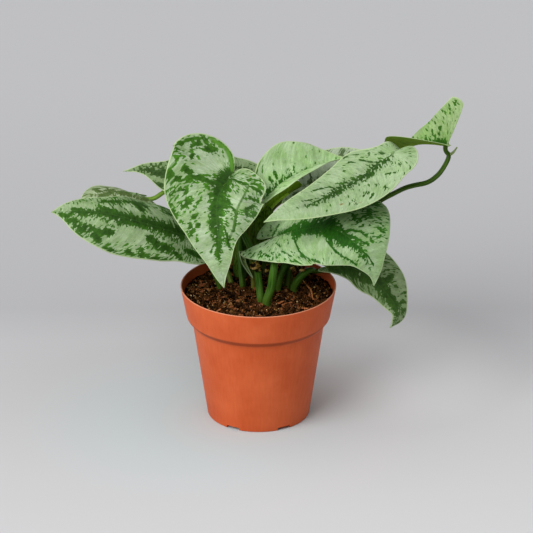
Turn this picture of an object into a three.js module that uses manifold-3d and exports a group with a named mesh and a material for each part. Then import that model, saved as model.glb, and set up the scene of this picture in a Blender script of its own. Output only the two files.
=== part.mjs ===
// Satin pothos growing in a round nursery pot.
// Millimetres, +Z up, origin at the centre of the pot's foot, the plant's front towards -Y.
// Each leaf blade, each leaf stalk, the soil and the pot is a closed solid of its own.

import * as THREE from 'three';
import Module from 'manifold-3d';

const wasm = await Module();
wasm.setup();

const DEGREE = Math.PI / 180;

// Clearance between neighbouring solids.
const GAP = 0.3;

// ---------------------------------------------------------------- pot

const POT_HEIGHT = 107;
const RIM_RADIUS = 60;
const WALL = 1.1;
const COLLAR_HEIGHT = 25;
const COLLAR_FOOT_RADIUS = 55.3;
const BODY_TOP_RADIUS = 51;
const STEP_DROP = 4.5;
const FOOT_RADIUS = 39.8;
const FOOT_RING = 3.2;
const FOOT_CHAMFER = 0.9;
const FLOOR_UNDERSIDE = 2.5;
const FLOOR_TOP = 3.8;
const PAD_RADIUS = 10;
const PAD_SLOPE = 1.5;
const LIP = 0.5;
const DRAIN_COUNT = 6;
const DRAIN_NOTCH_WIDTH = 11;
const DRAIN_NOTCH_REACH = 5;
const DRAIN_HOLE_RADIUS = 3.5;
const DRAIN_HOLE_CIRCLE = 27;
const POT_SEGMENTS = 60;

// ---------------------------------------------------------------- soil

const SOIL_LEVEL = 100;
const SOIL_RELIEF = 1.1;
const STALK_DEPTH = 16;
const STALK_RISE = 4;
const HOLE_SIDES = 10;
const SOIL_RINGS = 14;
const SOIL_SECTORS = 44;

// ---------------------------------------------------------------- leaf blades

const BLADE_THICKNESS = 0.8;
const LOBE_ROWS = 6;
const ROWS = 20;
const COLUMNS = 4;

// Places along the midrib, as fractions of its length, where the half widths are given.
const WIDTH_STATIONS = [0, 0.2, 0.4, 0.6, 0.8, 0.93, 1];

// Each blade is heart-shaped and grows along its midrib, from the stalk to the tip.
//   rib     points on the midrib
//   face    direction of the upper face, at the stalk and on towards the tip
//   left, right   the two half blades, seen from above with the tip away:
//     lobe    how far the lobe reaches back behind the stalk, and how far out its end lies
//     width   half widths at WIDTH_STATIONS; the tip itself is 0
//     fold    angle at which the half leaves the midrib, up from flat, in degrees
//     cup     further bend of the half on its way to the margin, in degrees
//     lift    bend of the lobe behind the stalk, in degrees
//     point   0 for a round lobe, 1 for a straight-sided one
//     crown   the same for the outer side of the lobe, where it differs; below 0 it is squarer
//     crease  [s, t, s, t, angle]: a valley fold between two places of the half
//   wave    height, count and phase of the margin's waves
const BLADES = {
  front_heart: {
    rib: [[-22, 12, 191], [-31, -2, 180], [-31, -20, 160], [-29, -30, 141], [-26, -35, 120]],
    face: [[0, -0.75, 0.66], [0, -0.95, 0.3]],
    left: { lobe: [14, 10], width: [30, 36, 31.5, 15, 7.5, 2], crease: [0, 17, 56, 10, 16] },
    right: {
      lobe: [25, 24],
      width: [50, 43, 31.5, 20.5, 9.5, 4],
      cup: [14, 10, 0],
      point: -0.15,
      crown: 0,
    },
    wave: [0.5, 3, 0.1],
    colour: 0x8fae86,
  },
  left_large: {
    rib: [[-56, 6, 145], [-74, 1, 154], [-91, -3, 161], [-110, -6, 168], [-132, -6, 171],
      [-158, -2, 169]],
    face: [[0.1, -0.45, 0.9], [0, -0.45, 0.9]],
    left: { lobe: [22, 12], width: [23.5, 29.5, 32.5, 32, 21, 6], cup: [-25, -25, -15] },
    right: { lobe: [20, 14], width: [28, 32, 30, 20, 13.5, 7], cup: [-32, -32, -10] },
    wave: [0.6, 4, 0.3],
    colour: 0x7f9f76,
  },
  left_behind: {
    rib: [[-94, 38, 167], [-108, 35, 170], [-124, 32, 166], [-139, 29, 151]],
    face: [[0, -0.2, 0.98], [-0.4, -0.3, 0.85]],
    left: {
      lobe: [26, 12],
      width: [20, 24, 22, 17, 9, 3],
      fold: [-40, -25, -20],
      cup: [-20],
      lift: -20,
      point: 0.5,
    },
    right: { lobe: [10, 8], width: [12, 12, 14, 17, 13, 5], fold: [-40, -5, 10] },
    wave: [0.5, 3, 0],
    colour: 0x7a976f,
  },
  back_left: {
    rib: [[-20, 44, 178], [-45, 48, 182], [-76, 51, 180], [-92, 51, 181], [-105, 50, 181]],
    face: [[0, -0.4, 0.9], [0, -0.4, 0.9]],
    left: { lobe: [20, 14], width: [26, 30, 28, 21.5, 5, 0.8] },
    right: { lobe: [20, 14], width: [22, 24, 20, 12.5, 8, 2.4] },
    wave: [0.6, 3, 0.4],
    colour: 0x6f8e66,
  },
  top_centre: {
    rib: [[5, 15, 173], [19, 26, 182], [39, 41, 187], [51, 50, 188], [68, 58, 189]],
    face: [[0.1, -0.3, 0.95]],
    left: { lobe: [6, 12], width: [17, 24.5, 28, 21, 9.6, 2.5], fold: [42] },
    right: { lobe: [8, 6], width: [12, 22, 24, 16, 10, 3], fold: [42] },
    wave: [0.5, 3, 0.2],
    colour: 0xa3c78f,
  },
  right_upper: {
    rib: [[102, 10, 212], [74, -6, 197], [43, -24, 187], [23, -33, 182], [4, -38, 176]],
    face: [[0.1, -0.35, 0.93], [0, -0.35, 0.93]],
    left: { lobe: [16, 7], width: [22, 27, 25.8, 19.3, 10.3, 3] },
    right: { lobe: [12, 5], width: [13, 24, 21, 16, 11, 4.5], lift: -70 },
    wave: [0.4, 3, 0],
    colour: 0x9dbb8e,
  },
  back_right: {
    rib: [[35, 42, 172], [53, 57, 175], [77, 69, 178], [103, 75, 180]],
    face: [[0, -0.75, 0.65], [0, -0.6, 0.8]],
    left: { lobe: [1, 6], width: [14, 19, 20.5, 17.5, 10, 4] },
    right: { lobe: [26, 5], width: [15, 23, 24, 18, 9, 3] },
    wave: [0.5, 3, 0.3],
    colour: 0x86998a,
  },
  right_lower: {
    rib: [[19, -4, 151], [35, -12, 159], [52, -20, 164], [67, -28, 160], [79, -34, 150], [85, -36, 137],
      [88, -36, 122]],
    face: [[0, -0.4, 0.92], [0.15, -0.6, 0.78], [0.4, -0.85, 0.25]],
    left: {
      lobe: [35, 17],
      width: [33, 36, 42, 45, 17.5, 6],
      cup: [-20],
      lift: -20,
      crown: -0.3,
    },
    right: { lobe: [38, 9], width: [27, 32.5, 33, 27, 10.5, 1.5], cup: [-20], point: 0.6 },
    wave: [0.6, 4, 0.1],
    colour: 0x8fb27f,
  },
  right_hanging: {
    rib: [[54, 10, 118], [71, 8, 118], [87, 4, 110], [101, 0, 97], [107, -2, 84], [102, -4, 72]],
    face: [[0, -0.4, 0.92], [0.4, -0.6, 0.7], [0.8, -0.6, -0.1]],
    left: { lobe: [10, 8], width: [20, 27, 28, 24.5, 13, 8] },
    right: { lobe: [8, 4], width: [5, 10, 12.3, 10, 6.5, 2], fold: [-30] },
    wave: [0.8, 4, 0.2],
    colour: 0x5f8358,
  },
  top_right: {
    rib: [[144, 16, 217], [133, 17, 218], [122, 21, 216], [112, 29, 209], [103, 39, 200], [96, 47, 190]],
    face: [[0, -0.1, 1]],
    left: { lobe: [3, 4], width: [10, 14, 17, 16, 8.4, 3], fold: [24, 50, 75] },
    right: {
      lobe: [8.4, 31],
      width: [37, 17, 6.4, 4.5, 4, 2],
      fold: [65, 60, 55],
      point: 0.8,
      crown: 0,
    },
    wave: [0.3, 2, 0],
    colour: 0x93bb7a,
  },
  small_scale: {
    rib: [[-13.5, 18.5, 126], [-11, 12, 119], [-4, 5, 110]],
    face: [[0.5, -0.7, 0.5]],
    left: { lobe: [1, 1], width: [2.4, 2.6, 2.2, 1.6, 1, 0.5], fold: [20] },
    right: { lobe: [1, 1], width: [2.4, 2.6, 2.2, 1.6, 1, 0.5], fold: [20] },
    wave: [0, 0, 0],
    colour: 0x7f9c6a,
  },
};

// The winged sheath of the rear stalk, a narrow channel with a blunt end.
const BACK_SHEATH = {
  rib: [[-1, 43, 136], [5, 45, 146.5], [14, 47, 157], [24, 47.5, 164.5], [36, 46.5, 171]],
  face: [[-0.35, -0.7, 0.65]],
  left: { lobe: [1, 1], width: [4.5, 5.5, 6, 6, 6, 5.5], fold: [40] },
  right: { lobe: [1, 1], width: [4, 4.5, 5, 5, 5, 4.5], fold: [40] },
  wave: [0, 0, 0],
};

// ---------------------------------------------------------------- leaf stalks

const STALK_SIDES = 8;
const STALK_STEP = 7;

// Each stalk stands in a hole of the soil and ends under the base of its blade.
//   foot    where it stands on the soil
//   path    points on its way up
//   blade   the blade it carries
//   radius  at the foot and at the blade
//   reach   how far behind and how far under the blade's base it comes in
//   upright its end meets the blade, where others lie along the midrib's underside
const STALKS = {
  front_right: {
    foot: [6.5, -21],
    path: [[10, -19, 114], [12, -15, 129]],
    blade: 'right_lower',
    radius: [3.3, 2.4],
    reach: [12, 7.5],
    colour: 0x4f8a35,
  },
  front_left: {
    foot: [1.5, -17],
    path: [[0.5, -10, 112], [-0.5, 1, 119], [-2, 8, 126], [-8.5, 14, 137], [-14, 16, 150], [-16, 17, 165]],
    blade: 'front_heart',
    radius: [2.7, 2.1],
    reach: [8, 8.5],
    colour: 0x4f8a35,
  },
  right_hanging: {
    foot: [27, 3],
    path: [[32, 3, 112], [39, 6, 117]],
    blade: 'right_hanging',
    radius: [3.4, 2.1],
    reach: [10, 5.5],
    colour: 0x5f9440,
  },
  top_right: {
    foot: [22, 10],
    path: [[28, 14, 122], [60, 28, 147], [84, 26, 161], [101, 22, 172.5], [114, 20.3, 180],
      [128, 18.5, 184.3], [136, 18, 189.8], [142, 17.3, 198.5], [145, 17, 207]],
    blade: 'top_right',
    radius: [2.8, 2],
    reach: [-1, 5.5],
    upright: true,
    colour: 0x3f6a26,
  },
  right_upper: {
    foot: [15, 4],
    path: [[18, 5, 116], [26, 10, 134], [50, 20, 160], [84, 24, 192]],
    blade: 'right_upper',
    radius: [2.8, 2.2],
    reach: [10, 9.5],
    colour: 0x4f8a35,
  },
  back_right: {
    foot: [24, 17],
    path: [[14, 33, 126], [4.5, 45.5, 141], [10.5, 48.5, 150.5], [21, 50, 159.5]],
    blade: 'back_right',
    radius: [3, 2.6],
    reach: [6, 5.5],
    colour: 0x6f8a2c,
  },
  top_centre: {
    foot: [-3, 7.5],
    path: [[-4.5, 16, 120], [-8, 22, 138], [-5.5, 20.5, 152]],
    blade: 'top_centre',
    radius: [2.7, 2.2],
    reach: [9, 7.5],
    colour: 0x6f8a3c,
  },
  left_large: {
    foot: [-30, 8],
    path: [[-36, 8, 118], [-44, 10, 134]],
    blade: 'left_large',
    radius: [2.4, 2],
    reach: [7, 6.5],
    colour: 0x5a8a3a,
  },
  left_behind: {
    foot: [-22, 18],
    path: [[-34, 36, 128], [-52, 44, 158], [-68, 43, 168]],
    blade: 'left_behind',
    radius: [2.2, 1.8],
    reach: [13, 3],
    colour: 0x86a63c,
  },
  back_left: {
    foot: [-12, 10],
    path: [[-13.5, 17, 118], [-13.5, 27, 134], [-10, 40, 160]],
    blade: 'back_left',
    radius: [2.6, 2.1],
    reach: [8, 7.5],
    colour: 0x5a8a3a,
  },
};

// A dried leaf scale sticks out of the tall stalk just under its blade.
const SCALE_STUB = { foot: [145.5, 17, 208], tip: [151.5, 17, 214.5], radius: 1.3 };

// ---------------------------------------------------------------- solids

function toManifold(geometry) {
  const numProp = 3;
  const vertProperties = new Float32Array(geometry.attributes.position.array);
  const triVerts = new Uint32Array(geometry.index.array);
  const mesh = new wasm.Mesh({ numProp, vertProperties, triVerts });
  mesh.merge();
  return new wasm.Manifold(mesh);
}

function toGeometry(manifold) {
  const mesh = manifold.getMesh();
  const geometry = new THREE.BufferGeometry();
  geometry.setAttribute('position', new THREE.BufferAttribute(mesh.vertProperties, 3));
  geometry.setIndex(new THREE.BufferAttribute(mesh.triVerts, 1));
  geometry.computeVertexNormals();
  return geometry;
}

// Collects points that coincide into one, and leaves out triangles without area.
class Surface {
  constructor() {
    this.points = [];
    this.triangles = [];
    this.known = new Map();
  }

  add(point) {
    const key = point.toArray().map((value) => value.toFixed(4)).join();
    if (!this.known.has(key)) {
      this.known.set(key, this.points.length);
      this.points.push(point.clone());
    }
    return this.known.get(key);
  }

  triangle(a, b, c) {
    if (a !== b && b !== c && c !== a) {
      this.triangles.push([a, b, c]);
    }
  }

  quad(a, b, c, d) {
    this.triangle(a, b, c);
    this.triangle(a, c, d);
  }

  geometry() {
    const geometry = new THREE.BufferGeometry();
    const coordinates = this.points.flatMap((point) => point.toArray());
    geometry.setAttribute('position', new THREE.Float32BufferAttribute(coordinates, 3));
    geometry.setIndex(this.triangles.flat());
    geometry.computeVertexNormals();
    return geometry;
  }
}

// A closed sheet of the given thickness about an open surface, with alike triangles on both faces.
function thicken(surface, thickness) {
  const open = surface.geometry();
  const normals = open.attributes.normal;
  const count = surface.points.length;
  const solid = new Surface();
  const half = thickness / 2;
  for (const direction of [1, -1]) {
    surface.points.forEach((point, i) => {
      const normal = new THREE.Vector3().fromBufferAttribute(normals, i);
      solid.points.push(point.clone().addScaledVector(normal, direction * half));
    });
  }
  const edgesOf = ([a, b, c]) => [`${a},${b}`, `${b},${c}`, `${c},${a}`];
  const directed = new Set(surface.triangles.flatMap(edgesOf));
  for (const [a, b, c] of surface.triangles) {
    solid.triangle(a, b, c);
    solid.triangle(a + count, c + count, b + count);
    for (const [from, to] of [[a, b], [b, c], [c, a]]) {
      if (!directed.has(`${to},${from}`)) {
        solid.quad(from, from + count, to + count, to);
      }
    }
  }
  return solid.geometry();
}

// ---------------------------------------------------------------- leaf blade

const vector = (values) => new THREE.Vector3(...values);

// A value given at even steps from the stalk to the tip, read at a fraction of the way.
function along(values, fraction) {
  if (values.length === 1) {
    return values[0];
  }
  const place = fraction * (values.length - 1);
  const i = Math.min(Math.floor(place), values.length - 2);
  return THREE.MathUtils.lerp(values[i], values[i + 1], place - i);
}

// Smooth half width at a fraction of the midrib, through the widths at the stations.
function halfWidth(width, fraction) {
  const w = [...width, 0];
  const x = WIDTH_STATIONS;
  const slope = (i) => {
    if (i === 0) {
      return 0;
    }
    if (i === w.length - 1) {
      return (w[i] - w[i - 1]) / (x[i] - x[i - 1]);
    }
    const before = x[i] - x[i - 1];
    const after = x[i + 1] - x[i];
    const rise = ((w[i + 1] - w[i]) / after) * before + ((w[i] - w[i - 1]) / before) * after;
    return rise / (before + after);
  };
  let i = x.length - 2;
  while (i > 0 && fraction < x[i]) {
    i -= 1;
  }
  const h = x[i + 1] - x[i];
  const t = (fraction - x[i]) / h;
  const value = (2 * t ** 3 - 3 * t ** 2 + 1) * w[i] + (t ** 3 - 2 * t ** 2 + t) * h * slope(i)
    + (-2 * t ** 3 + 3 * t ** 2) * w[i + 1] + (t ** 3 - t ** 2) * h * slope(i + 1);
  return Math.max(value, 0);
}

// The flat outline of a half blade as [s, t] places, from the notch at the stalk round the lobe
// to the tip; s runs along the midrib and t away from it.
function outline(length, half) {
  const [back, out] = half.lobe;
  const point = half.point ?? 0;
  const crown = half.crown ?? point;
  const shoulder = half.width[0];
  const places = [];
  const ARC_STEPS = 24;
  for (let i = 0; i <= ARC_STEPS; i += 1) {
    const angle = (i / ARC_STEPS) * 90 * DEGREE;
    const spread = (1 - point) * (1 - Math.cos(angle)) + point * Math.sin(angle);
    places.push([-back * Math.sin(angle), out * spread]);
  }
  for (let i = 1; i <= ARC_STEPS; i += 1) {
    const angle = (i / ARC_STEPS) * 90 * DEGREE;
    const spread = (1 - crown) * Math.sin(angle) + crown * (1 - Math.cos(angle));
    places.push([-back * Math.cos(angle), out + (shoulder - out) * spread]);
  }
  const lobeEnd = places.length - 1;
  const SIDE_STEPS = 60;
  for (let i = 1; i <= SIDE_STEPS; i += 1) {
    places.push([(i / SIDE_STEPS) * length, halfWidth(half.width, i / SIDE_STEPS)]);
  }
  const travelled = [0];
  for (let i = 1; i < places.length; i += 1) {
    const step = Math.hypot(places[i][0] - places[i - 1][0], places[i][1] - places[i - 1][1]);
    travelled.push(travelled[i - 1] + step);
  }
  const total = travelled.at(-1);
  return { places, travelled: travelled.map((d) => d / total), lobeShare: travelled[lobeEnd] / total };
}

// The outline's place at a share of its whole length.
function onOutline({ places, travelled }, share) {
  let i = 0;
  while (i < places.length - 2 && travelled[i + 1] < share) {
    i += 1;
  }
  const t = (share - travelled[i]) / (travelled[i + 1] - travelled[i]);
  return [0, 1].map((k) => THREE.MathUtils.lerp(places[i][k], places[i + 1][k], t));
}

// Frame of the blade at a distance along its midrib: the point, the way on, up and to the left.
function frameAt(blade, curve, fraction) {
  const centre = curve.getPointAt(fraction);
  const forward = curve.getTangentAt(fraction);
  const faces = blade.face.map((f) => vector(f).normalize());
  const up = vector([0, 1, 2].map((k) => along(faces.map((f) => f.getComponent(k)), fraction)));
  up.addScaledVector(forward, -up.dot(forward)).normalize();
  const left = new THREE.Vector3().crossVectors(up, forward);
  return { centre, forward, up, left };
}

// Where a place [s, t] of the flat half blade lies in space.
function bladePoint(blade, curve, half, side, s, t) {
  const length = curve.getLength();
  const fraction = THREE.MathUtils.clamp(s / length, 0, 1);
  const { centre, forward, up, left } = frameAt(blade, curve, fraction);
  const behind = Math.max(-s, 0);
  const lift = (half.lift ?? 0) * DEGREE;
  const back = half.lobe[0];
  const retreat = lift ? (back / lift) * Math.sin((lift * behind) / back) : behind;
  const rise = lift ? (back / lift) * (1 - Math.cos((lift * behind) / back)) : 0;
  const widest = Math.max(...half.width);
  const fold = along(half.fold ?? [0], fraction) * DEGREE;
  const bend = along(half.cup ?? [0], fraction) * DEGREE || 1e-3;
  const radius = widest / bend;
  const out = radius * (Math.sin(fold + t / radius) - Math.sin(fold));
  let high = radius * (Math.cos(fold) - Math.cos(fold + t / radius));
  if (half.crease) {
    const [s0, t0, s1, t1, angle] = half.crease;
    const valley = t0 + ((t1 - t0) * (s - s0)) / (s1 - s0);
    const fading = THREE.MathUtils.clamp((s1 - s) / 20, 0, 1);
    high += Math.tan(angle * DEGREE) * Math.max(t - valley, 0) * fading;
  }
  return centre.addScaledVector(forward, -retreat)
    .addScaledVector(up, rise + high)
    .addScaledVector(left, side * out);
}

function bladeSurface(blade) {
  const curve = new THREE.CatmullRomCurve3(blade.rib.map(vector), false, 'catmullrom', 0.5);
  const length = curve.getLength();
  const [height, count, phase] = blade.wave;
  const surface = new Surface();
  for (const [side, half] of [[1, blade.left], [-1, blade.right]]) {
    const edge = outline(length, half);
    const fan = edge.lobeShare * 0.9;
    const grid = [];
    for (let i = 0; i <= ROWS; i += 1) {
      const onward = Math.max((i - LOBE_ROWS) / (ROWS - LOBE_ROWS), 0);
      const share = i < LOBE_ROWS ? (i / LOBE_ROWS) * fan : fan + (1 - fan) * onward;
      const [s1, t1] = onOutline(edge, share);
      const s0 = onward * length;
      const { up } = frameAt(blade, curve, THREE.MathUtils.clamp(s1 / length, 0, 1));
      const turn = 2 * Math.PI * (count * share + phase * side);
      const swell = height * Math.sin(turn) * Math.sin(Math.PI * share);
      const row = [];
      for (let j = 0; j <= COLUMNS; j += 1) {
        const across = j / COLUMNS;
        const s = s0 + (s1 - s0) * across ** 1.25;
        const point = bladePoint(blade, curve, half, side, s, t1 * across ** 0.95);
        row.push(surface.add(point.addScaledVector(up, swell * across ** 2)));
      }
      grid.push(row);
    }
    for (let i = 0; i < ROWS; i += 1) {
      for (let j = 0; j < COLUMNS; j += 1) {
        const corners = [grid[i][j], grid[i + 1][j], grid[i + 1][j + 1], grid[i][j + 1]];
        surface.quad(...(side > 0 ? corners : corners.reverse()));
      }
    }
  }
  return surface;
}

function bladeGeometry(blade) {
  return thicken(bladeSurface(blade), BLADE_THICKNESS);
}

// ---------------------------------------------------------------- leaf stalk

// A closed round tube along points, with a radius at its start and one at its end.
function taperedTube(points, [startRadius, endRadius]) {
  const curve = new THREE.CatmullRomCurve3(points.map(vector), false, 'catmullrom', 0.5);
  const steps = Math.round(curve.getLength() / STALK_STEP);
  const { normals, binormals } = curve.computeFrenetFrames(steps, false);
  const tube = new Surface();
  const rings = [];
  for (let i = 0; i <= steps; i += 1) {
    const centre = curve.getPointAt(i / steps);
    const radius = THREE.MathUtils.lerp(startRadius, endRadius, i / steps);
    const ring = [];
    for (let j = 0; j < STALK_SIDES; j += 1) {
      const angle = (j / STALK_SIDES) * 2 * Math.PI;
      const point = centre.clone().addScaledVector(normals[i], radius * Math.cos(angle));
      ring.push(tube.add(point.addScaledVector(binormals[i], radius * Math.sin(angle))));
    }
    rings.push(ring);
  }
  for (let i = 0; i < steps; i += 1) {
    for (let j = 0; j < STALK_SIDES; j += 1) {
      const k = (j + 1) % STALK_SIDES;
      tube.quad(rings[i][j], rings[i][k], rings[i + 1][k], rings[i + 1][j]);
    }
  }
  for (let j = 1; j < STALK_SIDES - 1; j += 1) {
    tube.triangle(rings[0][0], rings[0][j + 1], rings[0][j]);
    tube.triangle(rings[steps][0], rings[steps][j], rings[steps][j + 1]);
  }
  return tube.geometry();
}

function stalkPoints(stalk) {
  const [x, y] = stalk.foot;
  const blade = BLADES[stalk.blade];
  const curve = new THREE.CatmullRomCurve3(blade.rib.map(vector), false, 'catmullrom', 0.5);
  const { centre, forward, up } = frameAt(blade, curve, 0);
  const [behind, under] = stalk.reach;
  const approach = centre.clone().addScaledVector(forward, -behind).addScaledVector(up, -under);
  const droop = Math.min(...[blade.left, blade.right].map((half) => half.fold?.[0] ?? 0), 0) * DEGREE;
  const crown = stalk.upright ? 0 : stalk.radius[1];
  const seat = (crown + BLADE_THICKNESS / 2 + GAP) / Math.cos(droop);
  const end = centre.clone().addScaledVector(forward, 2).addScaledVector(up, -seat);
  return [
    [x, y, SOIL_LEVEL - STALK_DEPTH],
    [x, y, SOIL_LEVEL - STALK_DEPTH / 2],
    [x, y, SOIL_LEVEL],
    [x, y, SOIL_LEVEL + STALK_RISE],
    ...stalk.path,
    approach.toArray(),
    end.toArray(),
  ];
}

function stalkGeometry(name) {
  const stalk = STALKS[name];
  const tube = taperedTube(stalkPoints(stalk), stalk.radius);
  if (name === 'back_right') {
    return toGeometry(toManifold(tube).add(toManifold(bladeGeometry(BACK_SHEATH))));
  }
  if (name === 'top_right') {
    const { foot, tip, radius } = SCALE_STUB;
    const stub = taperedTube([foot, tip], [radius, radius / 4]);
    return toGeometry(toManifold(tube).add(toManifold(stub)));
  }
  return tube;
}

// ---------------------------------------------------------------- pot and soil

// A turned solid from [radius, height] places.
function turned(profile, segments) {
  const geometry = new THREE.LatheGeometry(profile.map(([r, z]) => new THREE.Vector2(r, z)), segments);
  geometry.rotateX(Math.PI / 2);
  const solid = new Surface();
  const positions = geometry.attributes.position;
  const merged = [];
  for (let i = 0; i < positions.count; i += 1) {
    merged.push(solid.add(new THREE.Vector3().fromBufferAttribute(positions, i)));
  }
  const { array } = geometry.index;
  for (let i = 0; i < array.length; i += 3) {
    solid.triangle(merged[array[i]], merged[array[i + 1]], merged[array[i + 2]]);
  }
  return solid.geometry();
}

// Radii of the pot's outside at the heights where its wall turns.
const collarFoot = POT_HEIGHT - COLLAR_HEIGHT;
const bodyTop = collarFoot - STEP_DROP;

function potGeometry() {
  const outside = [
    [0, 0],
    [PAD_RADIUS, 0],
    [PAD_RADIUS + PAD_SLOPE, FLOOR_UNDERSIDE],
    [FOOT_RADIUS - FOOT_RING - FOOT_CHAMFER, FLOOR_UNDERSIDE],
    [FOOT_RADIUS - FOOT_RING, 0],
    [FOOT_RADIUS - FOOT_CHAMFER, 0],
    [FOOT_RADIUS, FOOT_CHAMFER],
    [BODY_TOP_RADIUS, bodyTop],
    [COLLAR_FOOT_RADIUS, collarFoot],
    [RIM_RADIUS - LIP / 2, POT_HEIGHT - 2 * LIP],
    [RIM_RADIUS, POT_HEIGHT - LIP],
    [RIM_RADIUS - LIP / 2, POT_HEIGHT],
  ];
  const inside = [
    [RIM_RADIUS - WALL, POT_HEIGHT],
    [RIM_RADIUS - WALL - LIP / 2, POT_HEIGHT - LIP],
    [COLLAR_FOOT_RADIUS - WALL, collarFoot + WALL / 2],
    [BODY_TOP_RADIUS - WALL, bodyTop + WALL / 2],
    [FOOT_RADIUS - WALL, FLOOR_TOP + 1],
    [FOOT_RADIUS - WALL - 1, FLOOR_TOP],
    [0, FLOOR_TOP],
  ];
  let pot = toManifold(turned([...outside, ...inside], POT_SEGMENTS));
  for (let i = 0; i < DRAIN_COUNT; i += 1) {
    const angle = (i / DRAIN_COUNT) * 2 * Math.PI;
    const notch = new THREE.BoxGeometry(2 * DRAIN_NOTCH_REACH, DRAIN_NOTCH_WIDTH, 2 * FLOOR_UNDERSIDE);
    notch.translate(FOOT_RADIUS, 0, 0);
    notch.rotateZ(angle);
    const hole = new THREE.CylinderGeometry(DRAIN_HOLE_RADIUS, DRAIN_HOLE_RADIUS, 4 * FLOOR_TOP, 12);
    hole.rotateX(Math.PI / 2);
    hole.translate(DRAIN_HOLE_CIRCLE, 0, 0);
    hole.rotateZ(angle);
    pot = pot.subtract(toManifold(notch)).subtract(toManifold(hole));
  }
  return toGeometry(pot);
}

function soilRelief(x, y) {
  const broad = Math.sin(0.13 * x + 0.6) * Math.cos(0.11 * y - 0.4);
  const lumps = Math.sin(0.43 * x + 0.2 * y) * Math.sin(0.39 * y - 0.17 * x + 1.1);
  const crumbs = Math.sin(1.1 * x - 0.6 * y + 0.7) * Math.sin(0.9 * y + 0.5 * x);
  return SOIL_RELIEF * (0.6 * broad + 0.45 * lumps + 0.3 * crumbs);
}

function soilGeometry() {
  const topRadius = THREE.MathUtils.mapLinear(
    SOIL_LEVEL,
    collarFoot,
    POT_HEIGHT,
    COLLAR_FOOT_RADIUS,
    RIM_RADIUS,
  ) - WALL - 3 * GAP;
  const side = [
    [topRadius, SOIL_LEVEL - 1],
    [COLLAR_FOOT_RADIUS - WALL - 2 * GAP, collarFoot + WALL],
    [BODY_TOP_RADIUS - WALL - 2 * GAP, bodyTop + WALL],
    [FOOT_RADIUS - WALL - 2 * GAP, FLOOR_TOP + 2],
    [FOOT_RADIUS - WALL - 1 - 2 * GAP, FLOOR_TOP + GAP],
    [0, FLOOR_TOP + GAP],
  ];
  const profile = [];
  for (let i = 0; i < SOIL_RINGS; i += 1) {
    profile.push([(i / SOIL_RINGS) * topRadius, SOIL_LEVEL]);
  }
  profile.push(...side);
  const bulk = turned(profile.reverse(), SOIL_SECTORS);
  const positions = bulk.attributes.position;
  for (let i = 0; i < positions.count; i += 1) {
    if (Math.abs(positions.getZ(i) - SOIL_LEVEL) < 0.01) {
      positions.setZ(i, SOIL_LEVEL + soilRelief(positions.getX(i), positions.getY(i)));
    }
  }
  let soil = toManifold(bulk);
  for (const { foot, radius } of Object.values(STALKS)) {
    const holeRadius = (radius[0] + GAP) / Math.cos(Math.PI / HOLE_SIDES);
    const hole = new THREE.CylinderGeometry(holeRadius, holeRadius, 2 * STALK_DEPTH, HOLE_SIDES);
    hole.rotateX(Math.PI / 2);
    hole.translate(foot[0], foot[1], SOIL_LEVEL - GAP);
    soil = soil.subtract(toManifold(hole));
  }
  return toGeometry(soil);
}

// ---------------------------------------------------------------- the object

function part(name, geometry, colour, roughness) {
  const material = new THREE.MeshStandardMaterial({ color: colour, roughness, metalness: 0 });
  const mesh = new THREE.Mesh(geometry, material);
  mesh.name = name;
  return mesh;
}

const foliage = new THREE.Group();
for (const [name, blade] of Object.entries(BLADES)) {
  foliage.add(part(`blade_${name}`, bladeGeometry(blade), blade.colour, 0.6));
}

const stalks = new THREE.Group();
for (const [name, stalk] of Object.entries(STALKS)) {
  stalks.add(part(`stalk_${name}`, stalkGeometry(name), stalk.colour, 0.5));
}

const plant = new THREE.Group();
plant.add(foliage, stalks);

const container = new THREE.Group();
container.add(part('pot', potGeometry(), 0xc05a36, 0.55));
container.add(part('soil', soilGeometry(), 0x2e1d14, 0.95));

const object = new THREE.Group();
object.add(container, plant);

export default object;
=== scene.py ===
"""Satin pothos in a round nursery pot: leaves, stalks, potting mix and pot, on a plain floor.

Sizes in the tables are millimetres. Blender's are metres, so MM turns one into the other.
"""

import math
import random

import bpy
import numpy as np
from mathutils import Euler, Matrix, Vector, noise


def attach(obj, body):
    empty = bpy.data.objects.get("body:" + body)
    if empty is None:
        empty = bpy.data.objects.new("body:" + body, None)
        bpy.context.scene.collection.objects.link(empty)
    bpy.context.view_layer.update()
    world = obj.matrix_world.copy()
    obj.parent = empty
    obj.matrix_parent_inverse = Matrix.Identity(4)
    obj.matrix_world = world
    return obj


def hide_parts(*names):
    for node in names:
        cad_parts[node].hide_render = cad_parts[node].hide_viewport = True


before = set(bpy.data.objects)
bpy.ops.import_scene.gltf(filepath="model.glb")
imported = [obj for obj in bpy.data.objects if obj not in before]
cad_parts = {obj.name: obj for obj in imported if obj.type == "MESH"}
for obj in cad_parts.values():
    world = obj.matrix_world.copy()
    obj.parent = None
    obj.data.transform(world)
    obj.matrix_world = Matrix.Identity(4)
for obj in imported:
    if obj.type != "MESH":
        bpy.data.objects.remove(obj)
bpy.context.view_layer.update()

MM = 0.001
SEED = 11


# ---------------------------------------------------------------- small tools

MERGE_DISTANCE = 0.002

# Millimetres of a piece that one unit of its UV maps holds.
MAP_UNIT = 100


def srgb(code):
    """The linear colour of an sRGB hex value such as #4F8A35."""
    parts = [int(code[i:i + 2], 16) / 255 for i in (1, 3, 5)]
    return [p / 12.92 if p <= 0.04045 else ((p + 0.055) / 1.055) ** 2.4 for p in parts] + [1]


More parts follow.
